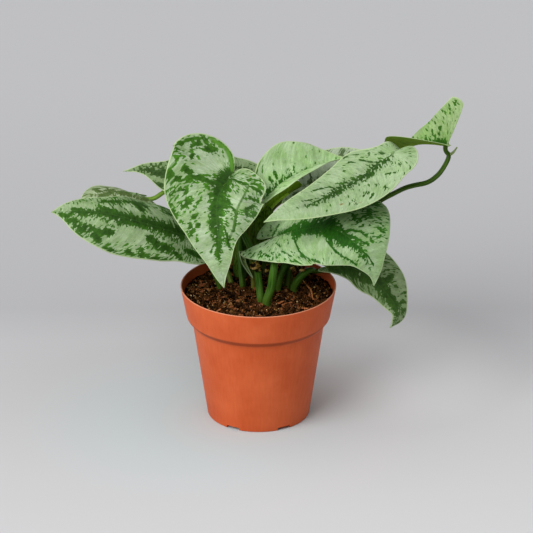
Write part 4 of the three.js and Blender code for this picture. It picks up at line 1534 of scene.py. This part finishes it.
def make_grown_sheaths():
    """The winged sheath and the dried scale, each grown as one with its stalk."""
    wing = blade_piece("petiole_wing_back_right", BACK_SHEATH, WING_THICKNESS)
    wing_skin = leaf_underside("petiole_wing_olive", "#88AC30", "#5C821A")
    wing_edge = leaf_margin("petiole_wing_edge", "#BFCB92", "#8CA35A")
    finish(wing, [wing_skin, wing_skin, wing_edge])

    stub = tube_piece("dried_scale_top_right", SCALE_STUB["route"], SCALE_STUB["radius"], sides=10)
    finish(stub, [dry_sheath("dried_scale_olive", "#8FA06A", "#5E7038")])


def make_old_sheaths():
    # Their colour is darkened as painted shade for the depth behind the stalks.
    shaded = dry_sheath("dried_sheath_painted_shade", "#5F8426", "#33470F")
    for number, (foot, tip, width) in enumerate(DARK_SHEATHS):
        middle = (np.array(foot) + np.array(tip)) / 2 + np.array(SHEATH_FACE) * SHEATH_BOW
        half = {"lobe": [1, 1], "width": [width * k for k in SHEATH_WIDTHS], "fold": [-10], "cup": [-35]}
        sheath = {
            "grid": [26, 6],
            "rib": [foot, middle, tip],
            "face": [SHEATH_FACE],
            "left": half,
            "right": half,
            "wave": [0.5, 3, 0.3],
        }
        piece = blade_piece(f"dried_sheath_{number + 1}", sheath, SHEATH_THICKNESS)
        finish(piece, [shaded, shaded, shaded])


def make_dried_bits():
    """Balls pushed in and out by folds and ridges, with a hollow on the side that faces forward."""
    crumpled = crumpled_tissue("dried_tissue_crumpled")
    for number, (middle, size) in enumerate(CRUMPLED_BITS):
        add = bpy.ops.mesh.primitive_ico_sphere_add
        bit = primitive(f"dried_bit_{number + 1}", add, subdivisions=4, radius=0.5)
        ball = positions(bit.data)
        for place in ball:
            folds = noise.noise(Vector(place * FOLDS[0]) + Vector((number * 5.3, 0, 0)))
            ridges = noise.noise(Vector(place * RIDGES[0]) + Vector((0, number * 3.7, 0)))
            off_centre = (place[0] / HOLLOW_HALF_WIDTH) ** 2 + (place[2] / HOLLOW_HALF_HEIGHT) ** 2
            hollow = HOLLOW_DEPTH * math.exp(-off_centre) * (place[1] < 0)
            place *= 1 + FOLDS[1] * folds + RIDGES[1] * ridges - hollow
        place_vertices(bit.data, (ball * np.array(size) + np.array(middle)) * MM)
        smooth(bit, 40)
        finish(bit, [crumpled])


# ---------------------------------------------------------------- pot

POT_HEIGHT = 107
RIM_RADIUS = 60
WALL = 1.1
COLLAR_FOOT = 82
COLLAR_FOOT_RADIUS = 55.3
BODY_TOP = 77.5
BODY_TOP_RADIUS = 51
FOOT_RADIUS = 39.8
FOOT_RING = 3.2
FLOOR_UNDERSIDE = 2.5
FLOOR_TOP = 3.8
PAD_RADIUS = 10
DRAIN_COUNT = 6
DRAIN_NOTCH_DEPTH = 10
DRAIN_NOTCH_WIDTH = 11
DRAIN_NOTCH_ROUNDING = 0.7
DRAIN_HOLE_RADIUS = 3.5
DRAIN_HOLE_CIRCLE = 27
POT_STEPS = 180
SPUN_MERGE_DISTANCE = 0.01


def rounded(corners, steps=4):
    """Profile points with each corner [radius, height, fillet] turned into an arc of its fillet."""
    places = []
    for i, (r, z, fillet) in enumerate(corners):
        here = np.array([r, z], float)
        if fillet == 0:
            places.append(here)
            continue
        before = unit(np.array(corners[i - 1][:2], float) - here)
        after = unit(np.array(corners[i + 1][:2], float) - here)
        start, end = here + before * fillet, here + after * fillet
        for k in range(steps + 1):
            x = k / steps
            places.append((1 - x) ** 2 * start + 2 * x * (1 - x) * here + x ** 2 * end)
    return places


def spun(name, profile, steps):
    """A turned piece: a profile drawn point by point and spun once round the upright axis."""
    piece = primitive(name, bpy.ops.mesh.primitive_plane_add, size=1)
    bpy.ops.object.mode_set(mode="EDIT")
    bpy.ops.mesh.select_all(action="SELECT")
    bpy.ops.mesh.merge(type="CENTER")
    start = profile[0]
    bpy.ops.transform.translate(value=(start[0] * MM, 0, start[1] * MM))
    for before, after in zip(profile, profile[1:]):
        step = ((after[0] - before[0]) * MM, 0, (after[1] - before[1]) * MM)
        bpy.ops.mesh.extrude_vertices_move(TRANSFORM_OT_translate={"value": step})
    bpy.ops.mesh.select_all(action="SELECT")
    bpy.ops.mesh.spin(steps=steps, angle=2 * math.pi, center=(0, 0, 0), axis=(0, 0, 1))
    bpy.ops.mesh.select_all(action="SELECT")
    bpy.ops.mesh.remove_doubles(threshold=SPUN_MERGE_DISTANCE * MM)
    bpy.ops.mesh.normals_make_consistent(inside=False)
    bpy.ops.object.mode_set(mode="OBJECT")
    return piece


def cut_away(piece, cutter):
    modify(piece, "BOOLEAN", object=cutter, operation="DIFFERENCE", solver="EXACT")
    bpy.data.objects.remove(cutter)


def moulded_polypropylene(name):
    """Injection-moulded polypropylene in terracotta: an even satin skin with a faint flow mottle,
    fine upright drag marks from the mould and a chalky bloom in places, with a paler lip that is a
    painted highlight and a darker line of painted shade along the foot of the step, under the collar."""
    material, tree, skin = new_material(name)
    place = node(tree, "ShaderNodeTexCoord").outputs["Object"]
    flow = node(tree, "ShaderNodeTexNoise", {"Vector": place, "Scale": 1 / (28 * MM), "Detail": 3})
    upright = node(tree, "ShaderNodeMapping", {"Vector": place, "Scale": (1, 1, 0.04)})
    drag = node(tree, "ShaderNodeTexNoise", {"Vector": upright, "Scale": 1 / (1.6 * MM), "Detail": 3})
    grit = node(tree, "ShaderNodeTexNoise", {"Vector": place, "Scale": 1 / (0.7 * MM), "Detail": 2})
    tone = node(
        tree,
        "ShaderNodeMath",
        {0: drag.outputs["Fac"], 1: 0.35, 2: flow.outputs["Fac"]},
        operation="MULTIPLY_ADD",
    )
    flow_share = node(tree, "ShaderNodeMapRange", {"Value": tone, "From Min": 0.45, "From Max": 0.9})
    bloom = node(
        tree, "ShaderNodeTexNoise", {"Vector": place, "Scale": 1 / (9 * MM), "Detail": 6, "Roughness": 0.7}
    )
    bloom_share = node(
        tree,
        "ShaderNodeMapRange",
        {"Value": bloom.outputs["Fac"], "From Min": 0.56, "From Max": 0.8, "To Min": 0.0, "To Max": 0.14},
    )
    height = node(tree, "ShaderNodeSeparateXYZ", {"Vector": place}).outputs["Z"]
    # Painted highlight: a paler band round the top of the lip.
    painted_rim_highlight = node(
        tree,
        "ShaderNodeMapRange",
        {
            "Value": height,
            "From Min": (POT_HEIGHT - 0.7) * MM,
            "From Max": (POT_HEIGHT - 0.1) * MM,
            "To Min": 0.0,
            "To Max": 0.75,
        },
    )
    # Painted shade: a darker band on the foot of the step, under the collar's overhang.
    over_body = node(
        tree,
        "ShaderNodeMapRange",
        {
            "Value": height,
            "From Min": (BODY_TOP + 0.1) * MM,
            "From Max": (BODY_TOP + 1.9) * MM,
            "To Min": 0.0,
            "To Max": 0.62,
        },
    )
    under_collar = node(
        tree,
        "ShaderNodeMapRange",
        {
            "Value": height,
            "From Min": COLLAR_FOOT * MM,
            "From Max": (COLLAR_FOOT + 1.2) * MM,
            "To Min": 1.0,
            "To Max": 0.0,
        },
    )
    painted_collar_shade = node(tree, "ShaderNodeMath", {0: over_body, 1: under_collar}, operation="MULTIPLY")
    layers = [(flow_share, "#DC6A3C"), (bloom_share, "#D08A6A"), (painted_rim_highlight, "#E69E7C"), (painted_collar_shade, "#7C3214")]
    colour = srgb("#CA572B")
    for share, code in layers:
        colour = node(tree, "ShaderNodeMix", {0: share, "A": colour, "B": srgb(code)}, data_type="RGBA")
    roughness = node(
        tree,
        "ShaderNodeMapRange",
        {"Value": bloom.outputs["Fac"], "From Min": 0.3, "From Max": 0.7, "To Min": 0.42, "To Max": 0.55},
    )
    relief = node(
        tree,
        "ShaderNodeMath",
        {0: drag.outputs["Fac"], 1: 0.6, 2: grit.outputs["Fac"]},
        operation="MULTIPLY_ADD",
    )
    bump = node(tree, "ShaderNodeBump", {"Height": relief, "Strength": 0.25, "Distance": 0.15 * MM})
    feed(tree, skin, {"Base Color": colour, "Roughness": roughness, "Normal": bump})
    feed(tree, skin, {"IOR": 1.49, "Specular IOR Level": 0.12})
    return material


def make_pot():
    ring_inside = FOOT_RADIUS - FOOT_RING
    profile = rounded([
        [0, 0, 0],
        [PAD_RADIUS, 0, 0.4],
        [PAD_RADIUS + 1.5, FLOOR_UNDERSIDE, 0.4],
        [ring_inside - 0.9, FLOOR_UNDERSIDE, 0.4],
        [ring_inside, 0, 0.3],
        [FOOT_RADIUS - 0.2, 0, 0.9],
        [BODY_TOP_RADIUS, BODY_TOP, 1.6],
        [COLLAR_FOOT_RADIUS, COLLAR_FOOT, 1.3],
        [RIM_RADIUS, POT_HEIGHT, 0.5],
        [RIM_RADIUS - WALL, POT_HEIGHT, 0.5],
        [COLLAR_FOOT_RADIUS - WALL, COLLAR_FOOT + WALL / 2, 1.3],
        [BODY_TOP_RADIUS - WALL, BODY_TOP + WALL / 2, 1.6],
        [FOOT_RADIUS - WALL, FLOOR_TOP, 1],
        [0, FLOOR_TOP, 0],
    ])
    pot = spun("nursery_pot", profile, POT_STEPS)
    notch_scale = [v * MM for v in (DRAIN_NOTCH_DEPTH, DRAIN_NOTCH_WIDTH, 2 * FLOOR_UNDERSIDE)]
    for i in range(DRAIN_COUNT):
        angle = i * 2 * math.pi / DRAIN_COUNT
        turn = Matrix.Rotation(angle, 3, "Z")
        notch = primitive(
            "drain_notch",
            bpy.ops.mesh.primitive_cube_add,
            size=1,
            location=turn @ Vector((FOOT_RADIUS * MM, 0, 0)),
            rotation=(0, 0, angle),
        )
        notch.scale = notch_scale
        bpy.ops.object.transform_apply(location=True, rotation=True, scale=True)
        modify(notch, "BEVEL", width=DRAIN_NOTCH_ROUNDING * MM, segments=3)
        cut_away(pot, notch)
        hole = primitive(
            "drain_hole",
            bpy.ops.mesh.primitive_cylinder_add,
            vertices=32,
            radius=DRAIN_HOLE_RADIUS * MM,
            depth=4 * FLOOR_TOP * MM,
            location=turn @ Vector((DRAIN_HOLE_CIRCLE * MM, 0, 0)),
        )
        cut_away(pot, hole)
    smooth(pot, 35)
    finish(pot, [moulded_polypropylene("moulded_polypropylene_terracotta")], ["pot"])


# ---------------------------------------------------------------- potting mix

SOIL_RINGS = 70
SOIL_SECTORS = 200

# How far the bed keeps from the pot's wall and from its floor.
SOIL_CLEARANCE = 0.6
FLOOR_CLEARANCE = 0.3

# The relief of the mix: height of its slow waves, and size and height of its lumps and crumbs.
BROAD_HEIGHT = 0.6
LUMP_SIZE = 7
LUMP_HEIGHT = 1.5
CRUMB_SIZE = 2.2
CRUMB_HEIGHT = 1.1

# Loose bits on the mix, by the names of their pieces.
#   shapes     how many shapes there are, how far they are pushed out of round, and their height
#   count      how many bits there are
#   sizes      least and greatest size
#   lift       how far a bit's middle lies over the mix, as a share of its size
#   tilt       how far it may be turned over, in radians
#   slim       its least width as a share of its length
#   skin       material, its dark and light colour, the size of its mottle, and how much bits differ
LOOSE_BITS = {
    "peat_crumbs": {
        "shapes": (8, 0.9, 0.85),
        "count": 1900,
        "sizes": (1.6, 4.6),
        "lift": 0.1,
        "tilt": 3.1,
        "slim": 0.55,
        "skin": ("peat_crumb", "#0B0602", "#57361A", 1.4, 0.55),
    },
    "brown_crumbs": {
        "shapes": (8, 0.9, 0.85),
        "count": 700,
        "sizes": (1, 3),
        "lift": 0.25,
        "tilt": 3.1,
        "slim": 0.55,
        "skin": ("brown_crumb", "#1E1006", "#986A3E", 1.2, 0.6),
    },
    "bark_chips": {
        "shapes": (5, 0.7, 0.35),
        "count": 220,
        "sizes": (3, 7.5),
        "lift": 0.1,
        "tilt": 0.7,
        "slim": 0.22,
        "skin": ("bark_chip", "#3A1C0C", "#B26E44", 1.8, 0.4),
    },
    "perlite_grains": {
        "shapes": (4, 0.6, 0.85),
        "count": 480,
        "sizes": (0.6, 1.6),
        "lift": 0.4,
        "tilt": 3.1,
        "slim": 0.55,
        "skin": ("golden_grain", "#A07830", "#EBD2A0", 0.9, 0.5),
    },
}

# How far bits keep from the edge of the bed, with this share of their size.
BIT_CLEARANCE = 0.6
BIT_REACH = 0.6

FIBRE_COUNT = 200
FIBRE_LENGTHS = (5, 16)
FIBRE_RADII = (0.16, 0.36)
FIBRE_STEPS = 9
MIN_FIBRE_PLACES = 4
FIBRE_CLEARANCE = 1.5
FIBRE_LIFT = 0.5
FIBRE_HUMP = 1.2
FIBRE_BEND = 0.35
FIBRE_TAPER = 0.6

# A long dry root on the mix: its way across the surface, and its radius from end to end.
ROOT_ROUTE = [(31.5, 29), (33.4, 22), (37.3, 11), (40, 3.5), (41, -3), (41.4, -9), (42.1, -14.5)]
ROOT_RADII = [0.3, 0.5, 0.55, 0.6, 0.9, 0.6, 0.35]
ROOT_LIFT = 1.8


def soil_radius():
    """Radius of the mix at its surface, just inside the collar's wall."""
    part = (SOIL_LEVEL - COLLAR_FOOT) / (POT_HEIGHT - COLLAR_FOOT)
    return COLLAR_FOOT_RADIUS + part * (RIM_RADIUS - COLLAR_FOOT_RADIUS) - WALL - SOIL_CLEARANCE


def soil_height(x, y):
    """Height of the mix over its level: the slow relief, then lumps and crumbs."""
    broad = math.sin(0.13 * x + 0.6) * math.cos(0.11 * y - 0.4)
    lumps = noise.noise(Vector((x / LUMP_SIZE, y / LUMP_SIZE, 3)))
    crumbs = noise.noise(Vector((x / CRUMB_SIZE, y / CRUMB_SIZE, 9)))
    return BROAD_HEIGHT * broad + LUMP_HEIGHT * lumps + CRUMB_HEIGHT * crumbs


def potting_mix(name, dark, light, grain, own=0.0):
    """Moist peat and coir: near-black brown with redder fibres, rough and without gloss. Each crumb
    is lighter or darker as a whole, which parts it from those beside it."""
    material, tree, skin = new_material(name)
    lump = node(tree, "ShaderNodeAttribute", attribute_name="lump")
    place = node(tree, "ShaderNodeTexCoord").outputs["Object"]
    coarse = node(
        tree,
        "ShaderNodeTexNoise",
        {"Vector": place, "Scale": 1 / (grain * MM), "Detail": 5, "Roughness": 0.7},
    )
    relief = coarse.outputs["Fac"]
    mottle = node(tree, "ShaderNodeMapRange", {"Value": relief, "From Min": 0.38, "From Max": 0.66})
    share = node(
        tree, "ShaderNodeMath", {0: lump.outputs["Fac"], 1: own, 2: mottle}, operation="MULTIPLY_ADD"
    )
    colour = node(
        tree,
        "ShaderNodeMix",
        {0: share, "A": srgb(dark), "B": srgb(light)},
        data_type="RGBA",
        clamp_factor=True,
    )
    bump = node(tree, "ShaderNodeBump", {"Height": relief, "Strength": 0.7, "Distance": 0.6 * MM})
    feed(tree, skin, {"Base Color": colour, "Normal": bump, "Roughness": 0.9, "Specular IOR Level": 0.03})
    return material


def crumb_shapes(count, roughness, flatness):
    """Small lumps made from an icosphere, each pushed out of round in its own way."""
    shapes = []
    for i in range(count):
        lump = primitive("lump", bpy.ops.mesh.primitive_ico_sphere_add, subdivisions=2, radius=0.5)
        places = positions(lump.data)
        faces = [tuple(p.vertices) for p in lump.data.polygons]
        for place in places:
            place *= 1 + roughness * noise.noise(Vector(place * 2.6) + Vector((i * 7.1, 0, 0)))
        places[:, 2] *= flatness
        shapes.append((places, faces))
        bpy.data.objects.remove(lump)
    return shapes


def scattered(name, shapes, spots):
    """One mesh holding a copy of a shape at each spot, which gives the shape and its matrix."""
    vertices = []
    faces = []
    lumps = []
    for number, (index, matrix) in enumerate(spots):
        places, sides = shapes[index]
        first = len(vertices)
        lumps.extend([((number * 0.618) % 1) * 2 - 1] * len(places))
        turned = places @ np.array(matrix.to_3x3()).T + np.array(matrix.translation)
        vertices.extend(turned.tolist())
        faces.extend([tuple(first + v for v in side) for side in sides])
    mesh = bpy.data.meshes.new(name)
    mesh.from_pydata(vertices, [], faces)
    paint_value(mesh, "lump", lumps)
    piece = bpy.data.objects.new(name, mesh)
    bpy.context.scene.collection.objects.link(piece)
    return piece


def random_spots(rng, bits):
    """Seeded places on the mix's surface, clear of the wall, each with its own shape, size and turn."""
    spots = []
    radius = soil_radius() - BIT_CLEARANCE
    tilt = bits["tilt"]
    slim = bits["slim"]
    while len(spots) < bits["count"]:
        x, y = rng.uniform(-radius, radius), rng.uniform(-radius, radius)
        size = rng.uniform(*bits["sizes"])
        if math.hypot(x, y) + BIT_REACH * size > radius:
            continue
        turn = Euler((rng.uniform(-tilt, tilt), rng.uniform(-tilt, tilt), rng.uniform(0, 6.28))).to_matrix()
        stretch = Matrix.Diagonal((size, size * rng.uniform(slim, slim + 0.4), size * rng.uniform(0.6, 1)))
        matrix = (turn @ stretch).to_4x4()
        matrix.translation = Vector((x, y, SOIL_LEVEL + soil_height(x, y) + bits["lift"] * size))
        spots.append((rng.randrange(bits["shapes"][0]), Matrix.Scale(MM, 4) @ matrix))
    return spots


def make_fibres(rng):
    """Thin fibres lying on the mix, each a bent thread of its own, joined in one piece."""
    curve = bpy.data.curves.new("coir_fibres", "CURVE")
    curve.dimensions = "3D"
    curve.bevel_depth = 1 * MM
    curve.bevel_resolution = 1
    curve.use_fill_caps = True
    limit = soil_radius() - FIBRE_CLEARANCE
    for _ in range(FIBRE_COUNT):
        reach = limit * math.sqrt(rng.random())
        bearing = rng.uniform(0, 2 * math.pi)
        x, y = reach * math.cos(bearing), reach * math.sin(bearing)
        heading = rng.uniform(0, 2 * math.pi)
        step = rng.uniform(*FIBRE_LENGTHS) / FIBRE_STEPS
        radius = rng.uniform(*FIBRE_RADII)
        places = []
        for k in range(FIBRE_STEPS + 1):
            if math.hypot(x, y) > limit:
                break
            hump = FIBRE_HUMP * math.sin(math.pi * k / FIBRE_STEPS) * rng.uniform(0.3, 1)
            places.append((x, y, SOIL_LEVEL + soil_height(x, y) + FIBRE_LIFT + hump))
            heading += rng.gauss(0, FIBRE_BEND)
            x += step * math.cos(heading)
            y += step * math.sin(heading)
        if len(places) < MIN_FIBRE_PLACES:
            continue
        spline = curve.splines.new("POLY")
        spline.points.add(len(places) - 1)
        for k, place in enumerate(places):
            spline.points[k].co = (*(MM * v for v in place), 1)
            spline.points[k].radius = radius * (1 - FIBRE_TAPER * k / len(places))
    piece = bpy.data.objects.new("coir_fibres", curve)
    bpy.context.scene.collection.objects.link(piece)
    select(piece)
    bpy.ops.object.convert(target="MESH")
    piece = bpy.context.object
    bpy.ops.object.shade_smooth()
    finish(piece, [potting_mix("coir_fibre", "#5E2E14", "#C47A42", 0.8)])


def make_root():
    """The long root, lying over the crumbs."""
    points = [(x, y, SOIL_LEVEL + 0.6 * soil_height(x, y) + ROOT_LIFT) for x, y in ROOT_ROUTE]
    root = tube_piece("dry_root", points, ROOT_RADII, reference=(0, 0, 1), sides=8)
    finish(root, [potting_mix("dry_root", "#A8602E", "#E0A266", 1)])


def make_soil():
    """The bed of mix, with the relief in its upper face."""
    gap = WALL + SOIL_CLEARANCE
    under = FLOOR_TOP + FLOOR_CLEARANCE
    side = [
        [0, under],
        [FOOT_RADIUS - gap - 1, under],
        [FOOT_RADIUS - gap, FLOOR_TOP + 2],
        [BODY_TOP_RADIUS - gap, BODY_TOP + WALL],
        [COLLAR_FOOT_RADIUS - gap, COLLAR_FOOT + WALL],
    ]
    top = [[soil_radius() * (1 - i / SOIL_RINGS), SOIL_LEVEL] for i in range(SOIL_RINGS + 1)]
    soil = spun("potting_mix_bed", side + top, SOIL_SECTORS)
    places = positions(soil.data)
    for place in places:
        if abs(place[2] / MM - SOIL_LEVEL) < 0.01:
            place[2] += soil_height(place[0] / MM, place[1] / MM) * MM
    place_vertices(soil.data, places)
    smooth(soil, 50)
    # The bed is near black: moist peat, and painted shade for the gaps between the crumbs lying on it.
    finish(soil, [potting_mix("potting_mix_moist_and_shade", "#060301", "#1E0F06", 1.6)], ["soil"])


def make_loose_bits():
    rng = random.Random(SEED)
    for name, bits in LOOSE_BITS.items():
        piece = scattered(name, crumb_shapes(*bits["shapes"]), random_spots(rng, bits))
        finish(piece, [potting_mix(*bits["skin"])])
    make_fibres(rng)
    make_root()


# ---------------------------------------------------------------- stage, camera and light

CAMERA_DISTANCE = 3000
CAMERA_ELEVATION = 24
CAMERA_AIM = (6.2, 0, 122.4)
MM_PER_PIXEL = 0.768
FRAME_PIXELS = 533
SENSOR_WIDTH = 36

# Tones of the board at distances behind the pot's centre line, in millimetres.
FLOOR_TONES = [(-200, "#D6D6D7"), (28, "#CACACB"), (125, "#C5C5C7"), (190, "#BABABC"), (700, "#C1C1C3")]

# A cooler patch of the board evens out the light thrown down by the pot, and a paler one keeps the
# shade behind the pot light: middle, radius where it is full, radius where it ends, strength, colour.
FLOOR_PATCHES = [
    ((-45, -25, 0), 30, 160, 0.9, "#C8D4D6"),
    ((102, 80, 0), 20, 120, 0.8, "#F0F0F1"),
]

# Each light: heading from the front, positive to the right, height, angle it fills, power.
LIGHTS = {
    "overhead_light": (-10, 78, 90, 1.4),
    "key_light": (-45, 38, 45, 2.1),
}
ROOM_LIGHT = 0.15


def painted_floor(name):
    """Matte painted board: pale grey, a shade darker further back, where the light falls off."""
    material, tree, skin = new_material(name)
    place = node(tree, "ShaderNodeTexCoord").outputs["Object"]
    behind = node(tree, "ShaderNodeSeparateXYZ", {"Vector": place}).outputs["Y"]
    tone = srgb(FLOOR_TONES[0][1])
    for (start, _), (end, code) in zip(FLOOR_TONES, FLOOR_TONES[1:]):
        share = node(
            tree, "ShaderNodeMapRange", {"Value": behind, "From Min": start * MM, "From Max": end * MM}
        )
        tone = node(tree, "ShaderNodeMix", {0: share, "A": tone, "B": srgb(code)}, data_type="RGBA")
    for middle, full, end, strength, code in FLOOR_PATCHES:
        away = node(
            tree, "ShaderNodeVectorMath", {0: place, 1: [MM * v for v in middle]}, operation="DISTANCE"
        )
        share = node(
            tree,
            "ShaderNodeMapRange",
            {"Value": away, "From Min": full * MM, "From Max": end * MM, "To Min": strength, "To Max": 0.0},
            interpolation_type="SMOOTHSTEP",
        )
        tone = node(tree, "ShaderNodeMix", {0: share, "A": tone, "B": srgb(code)}, data_type="RGBA")
    feed(tree, skin, {"Base Color": tone, "Roughness": 0.8, "Specular IOR Level": 0.1})
    return material


def make_stage():
    floor = primitive("floor", bpy.ops.mesh.primitive_plane_add, size=14, location=(0, 4, 0))
    bpy.ops.object.transform_apply(location=True, rotation=True, scale=True)
    floor.data.materials.append(painted_floor("painted_floor_pale_grey"))


def aimed(thing, place, target):
    thing.location = place
    thing.rotation_euler = (Vector(target) - Vector(place)).to_track_quat("-Z", "Y").to_euler()


def make_camera():
    camera = bpy.data.cameras.new("camera")
    camera.sensor_width = SENSOR_WIDTH
    camera.lens = CAMERA_DISTANCE / MM_PER_PIXEL / FRAME_PIXELS * SENSOR_WIDTH
    camera.clip_start = 0.1
    camera.clip_end = 50
    holder = bpy.data.objects.new("camera", camera)
    bpy.context.scene.collection.objects.link(holder)
    tilt = math.radians(CAMERA_ELEVATION)
    aim = Vector(CAMERA_AIM) * MM
    back = Vector((0, -math.cos(tilt), math.sin(tilt))) * CAMERA_DISTANCE * MM
    aimed(holder, aim + back, aim)
    bpy.context.scene.camera = holder


def make_light():
    """A broad soft light overhead, a soft key from the left, and weak even light from the room."""
    for name, (heading, height, spread, power) in LIGHTS.items():
        sun = bpy.data.lights.new(name, "SUN")
        sun.energy = power
        sun.angle = math.radians(spread)
        holder = bpy.data.objects.new(name, sun)
        bpy.context.scene.collection.objects.link(holder)
        turn, rise = math.radians(heading), math.radians(height)
        away = (math.sin(turn) * math.cos(rise), -math.cos(turn) * math.cos(rise), math.sin(rise))
        aimed(holder, away, (0, 0, 0))
    world = bpy.data.worlds.new("soft_room")
    world.use_nodes = True
    background = world.node_tree.nodes["Background"]
    background.inputs["Color"].default_value = srgb("#FBFCFF")
    background.inputs["Strength"].default_value = ROOM_LIGHT
    bpy.context.scene.world = world
    bpy.context.scene.view_settings.view_transform = "Standard"


make_pot()
make_soil()
make_loose_bits()
make_blades()
make_stalks()
make_grown_sheaths()
make_old_sheaths()
make_dried_bits()
make_stage()
make_camera()
make_light()
